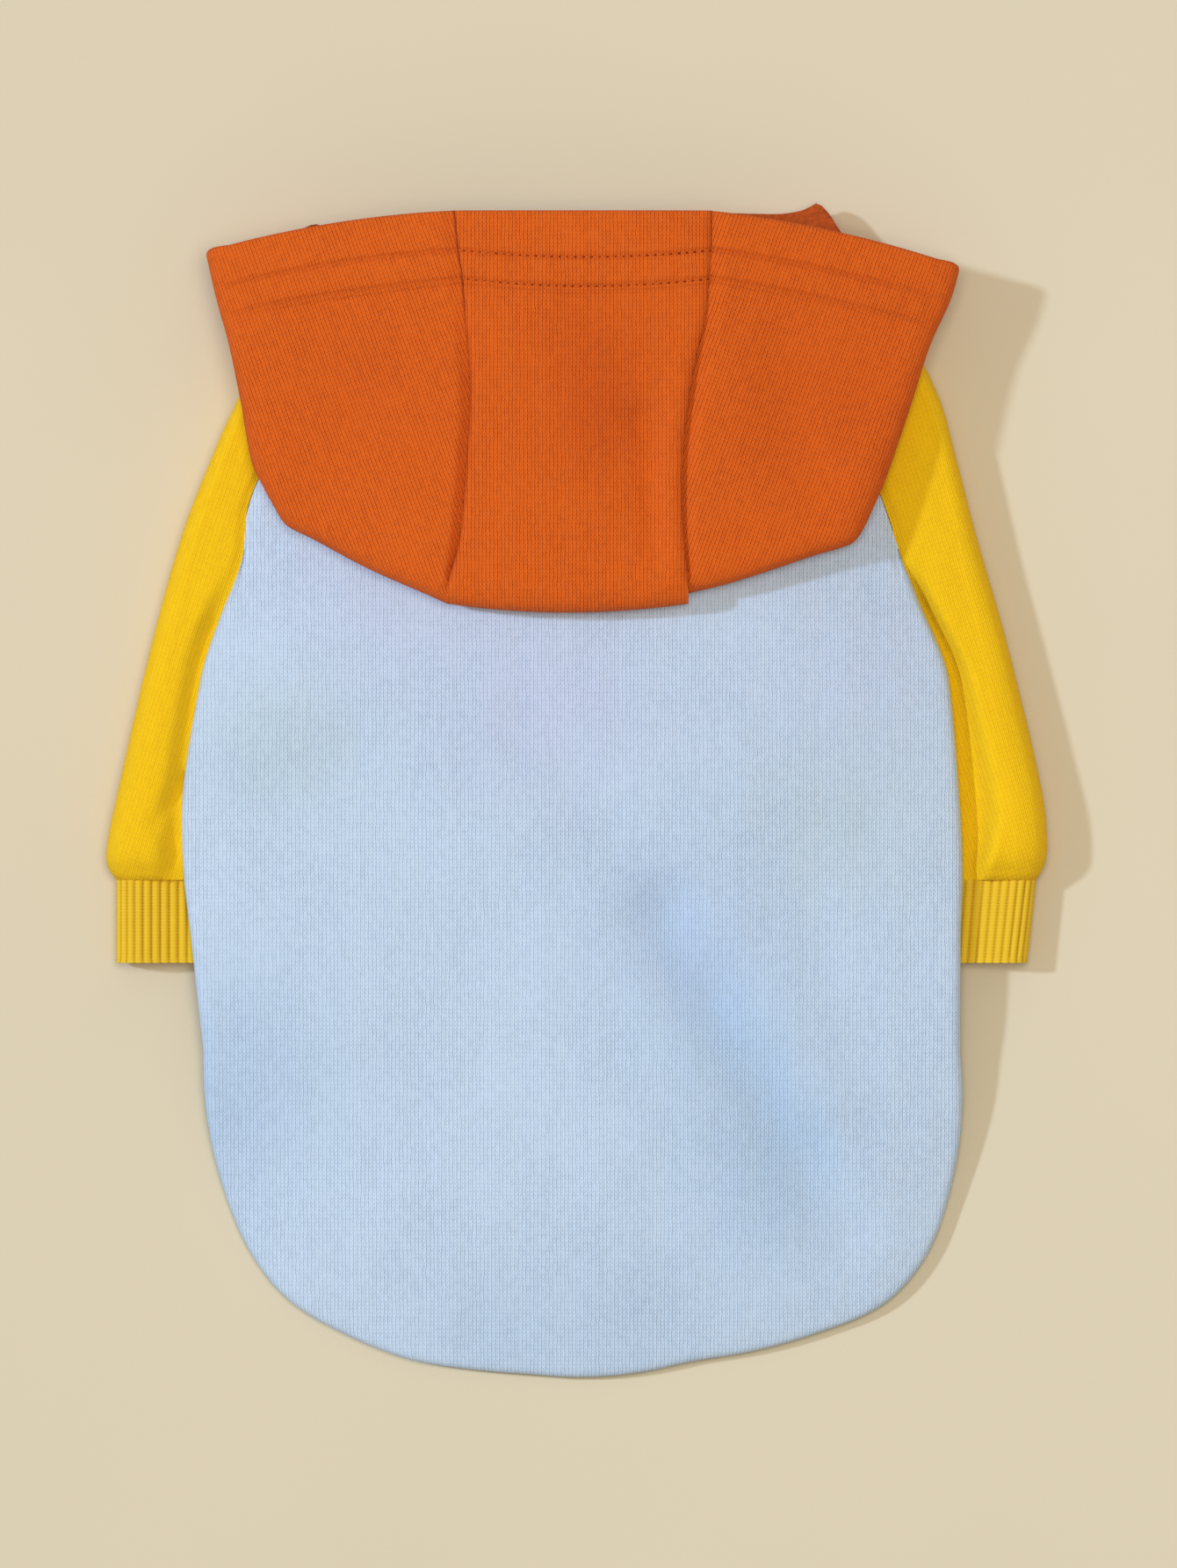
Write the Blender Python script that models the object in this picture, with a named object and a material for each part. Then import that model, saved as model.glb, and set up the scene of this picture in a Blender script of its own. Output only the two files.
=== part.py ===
"""Dog hoodie lying on its belly, back up, with the hood folded back over the shoulders.

Metres, +Z up. +Y points to the head end and +X to the right as the back is seen.
Nine sewn pieces: the back and belly panels, two sleeves with ribbed cuffs, and a hood of three panels.
Every piece is a wall of cloth with an outer and an inner face, and it is hollow where the dog goes in.
"""
import math

import bpy
from mathutils import Vector

# Cloth and seams
CLOTH = 0.0020            # sweatshirt knit with its fleece back
RIB_CLOTH = 0.0016        # ribbed knit of the cuffs, over the ribs
SEAM_GAP = 0.0003         # left between two pieces that are sewn edge to edge
HOOD_CLEARANCE = 0.0007   # between the hood's lower layer and the back that it lies on

# Body
NECK_Y = 0.130            # the neck seam
SIDE_LENGTH = 0.200       # from the neck seam to where the sides turn into the round tail
BODY_HALF = 0.105         # half of the widest width across the back
TAIL_SHIFT = 0.002        # the round of the tail is centred this far to the right
UNDERARM = 0.325          # share of the side length from the neck seam to the underarm
TURNED_UNDER = 0.026      # width of the back panel that is folded under the sides and tail
EDGE_THICK = 0.0060       # over the folded edge beside the chest
TAIL_THICK = 0.0052       # over the folded edge round the tail
LIFT = 0.0079             # how high the folded sides lie over the sleeves
LIFT_RUN = 0.009          # length of side in which the fold climbs onto the sleeve
SETTLE_RUN = 0.070        # length behind the cuffs in which it comes down to the table
TURN_RUN = 0.036          # length of side in which the edge turns from the armhole's seam to a full fold
TAIL_THICK_FROM = 0.85    # shares of the side length between which the edge thins to TAIL_THICK
TAIL_THICK_TO = 1.30
BELLY_LENGTH = 0.172      # from the neck seam to the belly hem
BELLY_SLOPE = 0.014       # width in which the belly panel drops from its seam to the table
CROWN_POWER = 2.4         # how late the back falls towards its sides
VALLEY_POWER = 6          # how late the valleys fade out towards the sides

# Sleeves and cuffs
SLEEVE_LENGTH = 0.1535    # from the neck seam to the cuff, along Y
SLEEVE_REACH = 0.0632     # how far the cuff's outer corner lies outside the neck corner
SLEEVE_PUFF = 0.0145      # highest part of a sleeve
SLEEVE_EDGE_SHARE = 0.96  # height of a sleeve's outer fold, as a share of its height there
SLEEVE_BULGE = 0.010      # width in which the sleeve rises beside the body's edge
SLEEVE_MARGIN = 0.0035    # width beside the body's edge that stays pressed down
SLEEVE_SHOULDER = 0.35    # share of the flat width in which the top rises from the outer fold
SLEEVE_SETTLE = 0.14      # share of the flat width in which it comes to the inner fold's height
CUFF_WIDTH = 0.0430       # across the flat cuff
CUFF_LENGTH = 0.0220
CUFF_HEIGHT = 0.0100      # over the cuff's outer fold, clear of the body
CUFF_SLOPE = 0.013        # width in which its top comes down to where the body covers it
RIB_PITCH = 0.0021
RIB_DEPTH = 0.0005
RIB_POINTS = 3            # points round the cuff for each rib
CUFF_TAPER = 0.0015       # how much narrower the right cuff is at its end

# Hood
HOOD_HALF = 0.100         # half of the hood's width at the rim
HOOD_DEPTH = 0.1073       # from the rim to the fold at the back of the head
RIM_Y = 0.1553            # the rim at the middle of the hood
FOLD_THICK = 0.0070       # over the two layers at the hood's folded edge
HOOD_LOFT = 0.0135        # from the lower layer's outside to the top layer's outside, mid hood
THROAT_DEPTH = 0.0225     # from the neck seam to the rim under the chin
HEM_RISE = 0.0008         # extra thickness of the rim, where the cloth is turned in and stitched down
HEM_SHARE = 0.165         # share of the way from the rim to the fold at which the hem ends
HEM_STEP = 0.010          # share of that way in which its extra thickness fades out
HEM_POWER = 6             # how late the hem thins towards the folded edge
RIM_BOW = 0.0016          # how far the rim of a side panel bows outwards
RIM_BOW_END = 0.3         # share round the folded edge at which that bow has faded out
CHIN_LOW = 0.625          # share of the way to the neck seam at which the chin's cloth is down
MIDDLE_DROP = 0.0024      # how far the middle panel's fold reaches beyond its two seams
SEAM_DOWN = 0.978         # share of the hood's depth at which those seams reach the fold

# Shares of the side length, and the half widths there as shares of BODY_HALF
#               share  left   right
BODY_SIDES = ((0.000, 0.571, 0.571),
              (0.150, 0.690, 0.688),
              (0.325, 0.833, 0.810),
              (0.400, 0.897, 0.861),
              (0.500, 0.960, 0.944),
              (0.650, 1.005, 0.978),
              (0.750, 1.004, 0.987),
              (0.850, 0.983, 0.982),
              (1.000, 0.952, 0.981))

# Round tail: share of the quarter turn from a side to the tip, and the radii as shares of BODY_HALF
#              share  left   right
BODY_TAIL = ((0.000, 0.971, 0.962),
             (0.220, 0.983, 1.000),
             (0.340, 0.993, 1.019),
             (0.440, 0.985, 1.003),
             (0.560, 0.940, 0.932),
             (0.670, 0.902, 0.878),
             (0.780, 0.860, 0.838),
             (0.890, 0.834, 0.830),
             (1.000, 0.829, 0.829))

# Height of the back along its middle line, by the share of the side length
#                share  height
BACK_CROWN = ((0.000, 0.0205),
              (0.150, 0.0220),
              (0.350, 0.0235),
              (0.500, 0.0238),
              (0.650, 0.0222),
              (0.850, 0.0185),
              (1.000, 0.0158))

# Bow of a sleeve's two long edges, as shares of the straight line from its top to its cuff
#                 share  outer left  outer right  inner
SLEEVE_EDGES = ((0.000, 0.000, 0.000, 0.000),
                (0.050, 0.060, 0.085, 0.024),
                (0.120, 0.100, 0.137, 0.042),
                (0.220, 0.114, 0.151, 0.038),
                (0.310, 0.117, 0.141, 0.029),
                (0.440, 0.114, 0.123, 0.018),
                (0.625, 0.092, 0.102, 0.006),
                (0.870, 0.051, 0.063, 0.000),
                (0.956, 0.034, 0.037, 0.000),
                (0.987, 0.020, 0.018, 0.000),
                (1.000, 0.000, 0.000, 0.000))

# Height of a sleeve along its length, as a share of SLEEVE_PUFF
#                share  height
SLEEVE_RISE = ((0.00, 1.00),
               (0.60, 0.99),
               (0.87, 0.96),
               (0.96, 0.87),
               (1.00, 0.74))

# Folded edge of the hood from the rim's corner round to the middle panel's seam:
# x as a share of HOOD_HALF and the distance below the rim's middle as a share of HOOD_DEPTH
#                       x      down
HOOD_EDGE_LEFT = ((0.994, 0.092),
                  (0.963, 0.218),
                  (0.930, 0.330),
                  (0.897, 0.479),
                  (0.866, 0.629),
                  (0.835, 0.700),
                  (0.795, 0.757),
                  (0.720, 0.806),
                  (0.560, 0.889),
                  (0.400, 0.955),
                  (0.345, SEAM_DOWN))
HOOD_EDGE_RIGHT = ((1.030, 0.130),
                   (1.003, 0.218),
                   (0.949, 0.330),
                   (0.897, 0.479),
                   (0.858, 0.590),
                   (0.824, 0.690),
                   (0.783, 0.770),
                   (0.705, 0.836),
                   (0.557, 0.890),
                   (0.400, 0.945),
                   (0.300, SEAM_DOWN))

# Seams of the hood's middle panel, by the share of the way from the rim to the fold:
# x as a share of HOOD_HALF
#               share  left   right
HOOD_SEAMS = ((0.00, 0.330, 0.360),
              (0.30, 0.315, 0.345),
              (0.55, 0.310, 0.310),
              (0.80, 0.325, 0.285),
              (1.00, 0.345, 0.300))

# Neck seam of a hood side panel, from the middle of the throat round the side of the neck to the
# nape, by the share of the way round the hood's folded edge: x as a share of the neck's half width,
# height as a share of the way up to the back, and forward as a share of THROAT_DEPTH
#              share  x      rise  forward
NECK_SEAM = ((0.000, 0.000, 0.00, 1.00),
             (0.030, 0.000, 0.00, 0.45),
             (0.050, 0.000, 0.00, 0.00),
             (0.062, 0.500, 0.00, 0.00),
             (0.075, 0.900, 0.00, 0.04),
             (0.090, 1.030, 0.20, 0.09),
             (0.115, 1.040, 0.70, 0.07),
             (0.140, 0.985, 1.00, 0.00))
THROAT_END = 0.075        # share where the seam leaves the table
NAPE_START = 0.140        # share where the seam has reached the back

# Rim under the chin: how far it reaches beyond a straight line from the rim's corner to the middle
# of the throat, by the share of that line, as shares of THROAT_DEPTH
#             share  left   right
CHIN_RIM = ((0.00, 0.000, 0.000),
            (0.15, 0.040, 0.140),
            (0.24, 0.190, 0.260),
            (0.33, 0.115, 0.520),
            (0.42, 0.120, 0.430),
            (0.60, 0.110, 0.300),
            (0.80, 0.070, 0.150),
            (1.00, 0.000, 0.000))
CHIN_END = 0.06           # share round the folded edge at which that reach has faded out

# Soft valleys in the cloth: ends as shares of BODY_HALF from the centre of the round tail,
# half width and depth in metres
#               x0     y0     x1     y1     width   depth
BACK_VALLEYS = ((0.21, 0.34, 0.67, -0.45, 0.016, 0.0011),
                (-0.62, 0.75, -0.25, 0.20, 0.020, 0.0006))

# Steps along each part of a piece, as shares, and round a fold in degrees
BACK_STEPS = (0.0, 0.2, 0.38, 0.55, 0.70, 0.83, 0.93, 1.0)
FOLD_ANGLES = (60.0, 30.0, 0.0, -30.0, -60.0, -90.0)
BELLY_HEM = BELLY_LENGTH / SIDE_LENGTH
SIDE_STATIONS = (0.0, 0.08, 0.16, 0.24, UNDERARM - SEAM_GAP / SIDE_LENGTH, UNDERARM, 0.345, 0.37,
                 0.41, 0.47, 0.55, 0.64, 0.73, 0.80, BELLY_HEM, 0.93)
TAIL_STATIONS = 16
BELLY_STATIONS = tuple(share for share in SIDE_STATIONS if share <= BELLY_HEM)
BELLY_STEPS = (0.0, 0.3, 0.6, 0.8, 0.88, 0.94, 1.0)
SLEEVE_STATIONS = (0.0, 0.05, 0.11, 0.18, 0.27, 0.38, 0.52, 0.67, 0.82, 0.92, 0.97, 1.0)
SLEEVE_TOP_STEPS = (0.0, 0.09, 0.18, 0.28, 0.38, 0.48, 0.58, 0.70, 0.85, 1.0)
SLEEVE_UNDER_STEPS = (0.67, 0.33)
CUFF_STATIONS = (0.0, 0.5, 1.0)
HOOD_STATIONS = (0.0, 0.03, 0.05, 0.062, 0.075, 0.09, 0.115, 0.14, HEM_SHARE, HEM_SHARE + HEM_STEP,
                 0.22, 0.29, 0.36, 0.44, 0.52, 0.58, 0.63, 0.69, 0.77, 0.86, 0.94, 1.0)
HOOD_TOP_STEPS = (0.0, 0.25, 0.5, 0.72, 0.88, 1.0)
HOOD_UNDER_STEPS = (0.06, 0.15, 0.24, 0.33, 0.42, 0.60, 0.80, 1.0)
MIDDLE_COLUMNS = 5
MIDDLE_ROWS = (0.0, 0.08, HEM_SHARE, HEM_SHARE + HEM_STEP, 0.28, 0.4, 0.55, 0.7, 0.84, 0.94, 1.0)

# Colours
SKY_BLUE = (0.53, 0.65, 0.77)
SUN_YELLOW = (0.80, 0.49, 0.012)
RIB_YELLOW = (0.72, 0.47, 0.03)
BURNT_ORANGE = (0.62, 0.10, 0.013)


def table_at(rows, share):
    """The columns of a table at one share of its first column, on a smooth curve."""
    last = len(rows) - 1
    share = min(max(share, rows[0][0]), rows[last][0])
    at = 0
    while at < last - 1 and share > rows[at + 1][0]:
        at += 1
    span = rows[at + 1][0] - rows[at][0]
    t = (share - rows[at][0]) / span
    values = []
    for column in range(1, len(rows[0])):
        def slope(row):
            low, high = max(row - 1, 0), min(row + 1, last)
            return (rows[high][column] - rows[low][column]) / (rows[high][0] - rows[low][0])
        start, end = rows[at][column], rows[at + 1][column]
        values.append((2 * t ** 3 - 3 * t ** 2 + 1) * start + (t ** 3 - 2 * t ** 2 + t) * span * slope(at)
                      + (3 * t ** 2 - 2 * t ** 3) * end + (t ** 3 - t ** 2) * span * slope(at + 1))
    return values


def ease(share):
    """0 up to 0, 1 from 1 on, and a soft step between."""
    share = min(max(share, 0.0), 1.0)
    return share * share * (3 - 2 * share)


def plain_material(name, colour):
    material = bpy.data.materials.new(name)
    material.use_nodes = True
    shader = material.node_tree.nodes["Principled BSDF"]
    shader.inputs["Base Color"].default_value = (*colour, 1.0)
    shader.inputs["Roughness"].default_value = 0.9
    shader.inputs["Metallic"].default_value = 0.0
    return material


def grid_faces(rows, columns, closed=False):
    """Quads between the rows of a grid of points, each row with the same number of columns."""
    faces = []
    for row in range(rows - 1):
        for column in range(columns if closed else columns - 1):
            after = (column + 1) % columns
            faces.append((row * columns + column, row * columns + after,
                          (row + 1) * columns + after, (row + 1) * columns + column))
    return faces


def cloth_piece(name, wall, skin, faces, material):
    """A closed wall of cloth. skin(depth) gives the points of the cloth that deep below its outer
    face, and faces joins them. Points that coincide are used once, and the cut edges are closed."""
    outer, inner = skin(0.0), skin(wall)
    first = {}
    same = [first.setdefault(tuple(round(c, 7) for c in point), i) for i, point in enumerate(outer)]
    kept = []
    for face in faces:
        ring = [same[i] for i in face]
        ring = [a for a, b in zip(ring, ring[1:] + ring[:1]) if a != b]
        if len(ring) > 2:
            kept.append(ring)
    edges = {(a, b) for ring in kept for a, b in zip(ring, ring[1:] + ring[:1])}
    cut_edges = sorted((a, b) for a, b in edges if (b, a) not in edges)
    used = sorted({i for ring in kept for i in ring})
    place = {i: n for n, i in enumerate(used)}
    count = len(used)
    points = [outer[i] for i in used] + [inner[i] for i in used]
    polygons = [[place[i] for i in ring] for ring in kept]
    polygons += [[place[i] + count for i in reversed(ring)] for ring in kept]
    polygons += [[place[b], place[a], place[a] + count, place[b] + count] for a, b in cut_edges]
    mesh = bpy.data.meshes.new(name)
    mesh.from_pydata(points, [], polygons)
    mesh.shade_smooth()
    mesh.set_sharp_from_angle(angle=math.radians(50))
    mesh.materials.append(material)
    piece = bpy.data.objects.new(name, mesh)
    hoodie.objects.link(piece)
    return piece


# The body's outline and heights, which the sleeves, the belly and the hood follow

def side_share(y):
    return (NECK_Y - y) / SIDE_LENGTH


def half_width(y, side):
    """Distance of the body's edge from the middle line. side is -1 for left and 1 for right."""
    left, right = table_at(BODY_SIDES, side_share(y))
    return BODY_HALF * (left if side < 0 else right)


def edge_lift(share):
    """Height of the underside of the folded edge, by the share of the side length."""
    cuff_end = (SLEEVE_LENGTH + CUFF_LENGTH + CLOTH) / SIDE_LENGTH
    climb = ease((share - UNDERARM) * SIDE_LENGTH / LIFT_RUN)
    return LIFT * climb * (1 - ease((share - cuff_end) * SIDE_LENGTH / SETTLE_RUN))


def edge_thickness(share):
    thinned = ease((share - TAIL_THICK_FROM) / (TAIL_THICK_TO - TAIL_THICK_FROM))
    return EDGE_THICK + (TAIL_THICK - EDGE_THICK) * thinned


def edge_top(share):
    """Height of the upper side of the body's edge. Beside the armhole it is the sleeve's seam."""
    seam_height = SLEEVE_PUFF + SEAM_GAP
    if share <= UNDERARM:
        return seam_height
    folded = edge_lift(share) + edge_thickness(share)
    return folded + (seam_height - folded) * (1 - ease((share - UNDERARM) * SIDE_LENGTH / TURN_RUN))


def turned_under(share, thick):
    """Width of cloth under the edge, from almost nothing at the underarm to its full width."""
    grown = TURNED_UNDER * ease((share - UNDERARM) * SIDE_LENGTH / TURN_RUN)
    return max(grown, thick / 2 + CLOTH / 2)


def valley(x, y):
    """Depth of the soft valleys of the back at one place."""
    deep = 0.0
    for x0, y0, x1, y1, width, depth in BACK_VALLEYS:
        start = Vector((x0, y0)) * BODY_HALF
        run = Vector((x1, y1)) * BODY_HALF - start
        offset = Vector((x, y - NECK_Y + SIDE_LENGTH)) - start
        along = min(max(offset.dot(run) / run.length_squared, 0.0), 1.0)
        away = (offset - run * along).length / width
        deep += depth * math.exp(-2 * away * away)
    return deep


def back_height(crown, top, q):
    return top + (crown - top) * (1 - q ** CROWN_POWER)


def bed_height(x, y):
    """Height of the back, or of the sleeve beside it, under any point of the hood."""
    share = max(side_share(y), 0.0)
    side = -1 if x < 0 else 1
    q = min(abs(x) / half_width(min(y, NECK_Y), side), 1.0)
    crown, = table_at(BACK_CROWN, share)
    return back_height(crown, edge_top(share), q) + HOOD_CLEARANCE


# Back panel: the whole back, folded under along the sides and round the tail

def back_stations():
    """Foot on the middle line, place on the outline and its share of the side length, which goes on
    past 1 round the tail."""
    stations = []
    turn = Vector((TAIL_SHIFT, NECK_Y - SIDE_LENGTH))

    def side_station(share, side):
        y = NECK_Y - share * SIDE_LENGTH
        foot = Vector((TAIL_SHIFT * share, y))
        return foot, Vector((side * half_width(y, side), y)), share

    for share in SIDE_STATIONS:
        stations.append(side_station(share, -1))
    for step in range(TAIL_STATIONS + 1):
        turned = step / TAIL_STATIONS
        quarter = 1 - abs(2 * turned - 1)
        left, right = table_at(BODY_TAIL, quarter)
        radius = BODY_HALF * (left if turned < 0.5 else right)
        angle = math.pi * (1 + turned)
        edge = turn + Vector((math.cos(angle), math.sin(angle))) * radius
        stations.append((turn, edge, side_share(edge.y)))
    for share in reversed(SIDE_STATIONS):
        stations.append(side_station(share, 1))
    return stations


def back_skin(depth):
    points = []
    for foot, edge, share in back_stations():
        folded = share >= UNDERARM
        out = (edge - foot).normalized()
        reach = (edge - foot).length
        under, top = edge_lift(share), edge_top(share)
        radius = (top - under) / 2
        flat = reach - radius if folded else reach - SEAM_GAP
        crown, = table_at(BACK_CROWN, share)
        for q in BACK_STEPS:
            spot = foot + out * (q * flat)
            height = back_height(crown, top, q) - valley(*spot) * (1 - q ** VALLEY_POWER) - depth
            points.append((*spot, height))
        for angle in FOLD_ANGLES:
            turn = math.radians(angle)
            spot = foot + out * (flat + (radius - depth) * math.cos(turn))
            points.append((*spot, (top + under) / 2 + (radius - depth) * math.sin(turn)))
        lip = turned_under(share, top - under)
        points.append((*(foot + out * (reach - lip)), under + depth))
    return points


def back_faces():
    """The folded edge is left out beside the armholes, where the sleeves are sewn on."""
    stations = back_stations()
    columns = len(BACK_STEPS) + len(FOLD_ANGLES) + 1
    top_columns = len(BACK_STEPS)
    faces = []
    for face in grid_faces(len(stations), columns):
        row, column = divmod(face[0], columns)
        beside_armhole = min(stations[row][2], stations[row + 1][2]) < UNDERARM
        if column < top_columns - 1 or not beside_armhole:
            faces.append(face)
    return faces


# Belly panel: flat on the table, rising at its sides to the seam with the folded back panel

def belly_skin(depth):
    points = []
    for share in BELLY_STATIONS:
        y = NECK_Y - share * SIDE_LENGTH
        for side in (-1, 1):
            lip = turned_under(share, edge_top(share) - edge_lift(share))
            lip *= ease((share - UNDERARM) * SIDE_LENGTH / LIFT_RUN + 1)
            width = half_width(y, side) - lip - SEAM_GAP
            steps = BELLY_STEPS if side > 0 else tuple(reversed(BELLY_STEPS[1:]))
            for step in steps:
                x = width * step
                rise = ease(1 - (width - x) / BELLY_SLOPE) * edge_lift(share)
                points.append((side * x, y, rise + depth))
    return points


# Sleeves: flattened tubes from the armhole, pressed under the body's edge, to the cuff

def sleeve_ends(side):
    """The neck corner, the cuff's outer and inner corners and the underarm of one sleeve."""
    neck = Vector((side * (half_width(NECK_Y, side) + SEAM_GAP), NECK_Y))
    cuff_y = NECK_Y - SLEEVE_LENGTH
    cuff_outer = Vector((neck.x + side * SLEEVE_REACH, cuff_y))
    cuff_inner = Vector((cuff_outer.x - side * CUFF_WIDTH, cuff_y))
    arm_y = NECK_Y - UNDERARM * SIDE_LENGTH
    underarm = Vector((side * (half_width(arm_y, side) + 3 * SEAM_GAP), arm_y + SEAM_GAP))
    return neck, cuff_outer, cuff_inner, underarm


def sleeve_edges(share, side):
    """A sleeve's outer and inner edge at one share of its length."""
    neck, cuff_outer, cuff_inner, underarm = sleeve_ends(side)
    bows = table_at(SLEEVE_EDGES, share)

    def bowed(start, end, bow):
        line = end - start
        return start + line * share + Vector((-line.y, line.x)) * side * bow

    return bowed(neck, cuff_outer, bows[0 if side < 0 else 1]), bowed(underarm, cuff_inner, bows[2])


def sleeve_height(spot, share, side):
    """Height of the sleeve's top: pressed under the body's edge and puffed outside it."""
    full = SLEEVE_PUFF * table_at(SLEEVE_RISE, share)[0]
    pressed = min(LIFT - SEAM_GAP, full)
    outside = abs(spot.x) - half_width(spot.y, side)
    arm_y = NECK_Y - UNDERARM * SIDE_LENGTH
    free = max(ease((outside - SLEEVE_MARGIN) / SLEEVE_BULGE), ease((spot.y - arm_y) / SLEEVE_BULGE))
    return pressed + (full - pressed) * free


def sleeve_skin(side):
    def skin(depth):
        points = []
        for share in SLEEVE_STATIONS:
            outer, inner = sleeve_edges(share, side)
            across = (inner - outer).normalized()
            width = (inner - outer).length
            full = SLEEVE_PUFF * table_at(SLEEVE_RISE, share)[0]
            outer_height = max(full * SLEEVE_EDGE_SHARE, min(LIFT - SEAM_GAP, full))
            inner_height = sleeve_height(inner, share, side)
            outer_radius, inner_radius = outer_height / 2, inner_height / 2
            flat = width - outer_radius - inner_radius
            for angle in reversed(FOLD_ANGLES):
                turn = math.radians(angle)
                spot = outer + across * (outer_radius - (outer_radius - depth) * math.cos(turn))
                points.append((*spot, outer_radius + (outer_radius - depth) * math.sin(turn)))
            for step in SLEEVE_TOP_STEPS:
                spot = outer + across * (outer_radius + flat * step)
                height = sleeve_height(spot, share, side)
                height = outer_height + (height - outer_height) * ease(step / SLEEVE_SHOULDER)
                height += (inner_height - height) * ease((step - 1) / SLEEVE_SETTLE + 1)
                points.append((*spot, height - depth))
            for angle in FOLD_ANGLES:
                turn = math.radians(angle)
                spot = inner - across * (inner_radius - (inner_radius - depth) * math.cos(turn))
                points.append((*spot, inner_radius + (inner_radius - depth) * math.sin(turn)))
            for step in SLEEVE_UNDER_STEPS:
                spot = outer + across * (outer_radius + flat * step)
                points.append((*spot, depth))
        return points
    return skin


# Cuffs: one-and-one rib, a flat tube that carries on from the sleeve

def cuff_loop(outer, inner, wall, rib_count):
    """Points round a flat tube. The outer face is ribbed and the inner one, wall deep, is smooth."""
    thick, thin = CUFF_HEIGHT / 2, (LIFT - SEAM_GAP) / 2
    across = (inner - outer).normalized()
    flat = (inner - outer).length - thick - thin
    total = 2 * flat + math.pi * (thick + thin)
    points = []
    for n in range(RIB_POINTS * rib_count):
        along = total * n / (RIB_POINTS * rib_count)
        inset = wall if wall else (RIB_DEPTH if n % RIB_POINTS == 0 else 0.0)
        round_inner = along - flat
        round_outer = along - 2 * flat - math.pi * thin
        if along < flat:
            place, level, turn = thick + along, thin, math.pi / 2
            level += (thick - thin) * 2 * (1 - ease(along / CUFF_SLOPE))
        elif round_inner < math.pi * thin:
            place, level, turn = thick + flat, thin, math.pi / 2 - round_inner / thin
        elif round_outer < 0:
            place, level, turn = thick - round_outer, thin, -math.pi / 2
        else:
            place, level, turn = thick, thick, -math.pi / 2 - round_outer / thick
        radius = thick if round_outer >= 0 else thin
        spot = outer + across * (place + (radius - inset) * math.cos(turn))
        points.append((*spot, level + (radius - inset) * math.sin(turn)))
    return points


def cuff_skin(side):
    outer_corner, inner_corner = sleeve_ends(side)[1:3]
    taper = CUFF_TAPER if side > 0 else 0.0
    rib_count = round((2 * CUFF_WIDTH) / RIB_PITCH)

    def skin(depth):
        points = []
        for share in CUFF_STATIONS:
            down = Vector((0, -SEAM_GAP - CUFF_LENGTH * share))
            outer = outer_corner + down - Vector((side * taper * share, 0))
            points += cuff_loop(outer, inner_corner + down, depth, rib_count)
        return points
    return skin, RIB_POINTS * rib_count


# Hood: a pouch of three panels, its lower layer sewn to the neck and its top layer ending in the rim

def hood_loft(q, share):
    """Thickness of the hood from layer to layer: least at its folded edge and most mid hood."""
    hem = HEM_RISE * (1 - ease((share - HEM_SHARE) / HEM_STEP)) * (1 - q ** HEM_POWER)
    return FOLD_THICK + (HOOD_LOFT - FOLD_THICK) * (1 - q * q) * (1 - share ** 4) + hem


def hood_seam(share, side):
    left, right = table_at(HOOD_SEAMS, share)
    x = side * HOOD_HALF * (left if side < 0 else right)
    return Vector((x, RIM_Y - (HOOD_DEPTH * SEAM_DOWN - FOLD_THICK / 2) * share))


def hood_edge(share, side):
    """A point of the hood's folded edge, by the share of its length from the rim's corner."""
    rows = HOOD_EDGE_LEFT if side < 0 else HOOD_EDGE_RIGHT
    places = [Vector((side * x * HOOD_HALF, RIM_Y - down * HOOD_DEPTH)) for x, down in rows]
    lengths = [0.0]
    for a, b in zip(places, places[1:]):
        lengths.append(lengths[-1] + (b - a).length)
    table = [(length / lengths[-1], *place) for length, place in zip(lengths, places)]
    return Vector(table_at(table, share))


def neck_seam(share, side):
    """Place and height of the neck seam that the hood's side panel ends on."""
    x, rise, forward = table_at(NECK_SEAM, share)
    x = max(x * half_width(NECK_Y, side), SEAM_GAP / 2)
    if share > NAPE_START:
        along_nape = (share - NAPE_START) / (1 - NAPE_START)
        x += (abs(hood_seam(1.0, side).x) + SEAM_GAP / 2 - x) * along_nape
    return Vector((side * x, NECK_Y + SEAM_GAP + forward * THROAT_DEPTH)), rise


def hood_side_skin(side):
    def skin(depth):
        points = []
        for share in HOOD_STATIONS:
            foot = hood_seam(share, side) + Vector((side * SEAM_GAP / 2, 0))
            edge = hood_edge(share, side)
            out = (edge - foot).normalized()
            reach = (edge - foot).length
            radius = FOLD_THICK / 2
            flat = max(reach - radius, 0.0)
            for q in HOOD_TOP_STEPS:
                spot = foot + out * (flat * q)
                spot.y += RIM_BOW * 4 * q * (1 - q) * (1 - ease(share / RIM_BOW_END))
                points.append((*spot, bed_height(*spot) + hood_loft(q, share) - depth))
            middle = foot + out * flat
            level = bed_height(*middle) + radius
            for angle in FOLD_ANGLES:
                turn = math.radians(angle)
                spot = middle + out * ((radius - depth) * math.cos(turn))
                points.append((*spot, level + (radius - depth) * math.sin(turn)))
            seam, rise = neck_seam(share, side)
            drop = 1 - ease((share - THROAT_END) / (NAPE_START - THROAT_END))
            for step in HOOD_UNDER_STEPS:
                spot = middle.lerp(seam, step)
                chin = table_at(CHIN_RIM, step)[0 if side < 0 else 1]
                spot.y += THROAT_DEPTH * chin * (1 - ease(share / CHIN_END))
                high = bed_height(*spot)
                low = (level - radius) * (1 - ease(step / CHIN_LOW))
                low += rise * high * ease(step * 2 - 1)
                points.append((*spot, high + (low - high) * drop + depth))
        return points
    return skin


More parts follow.
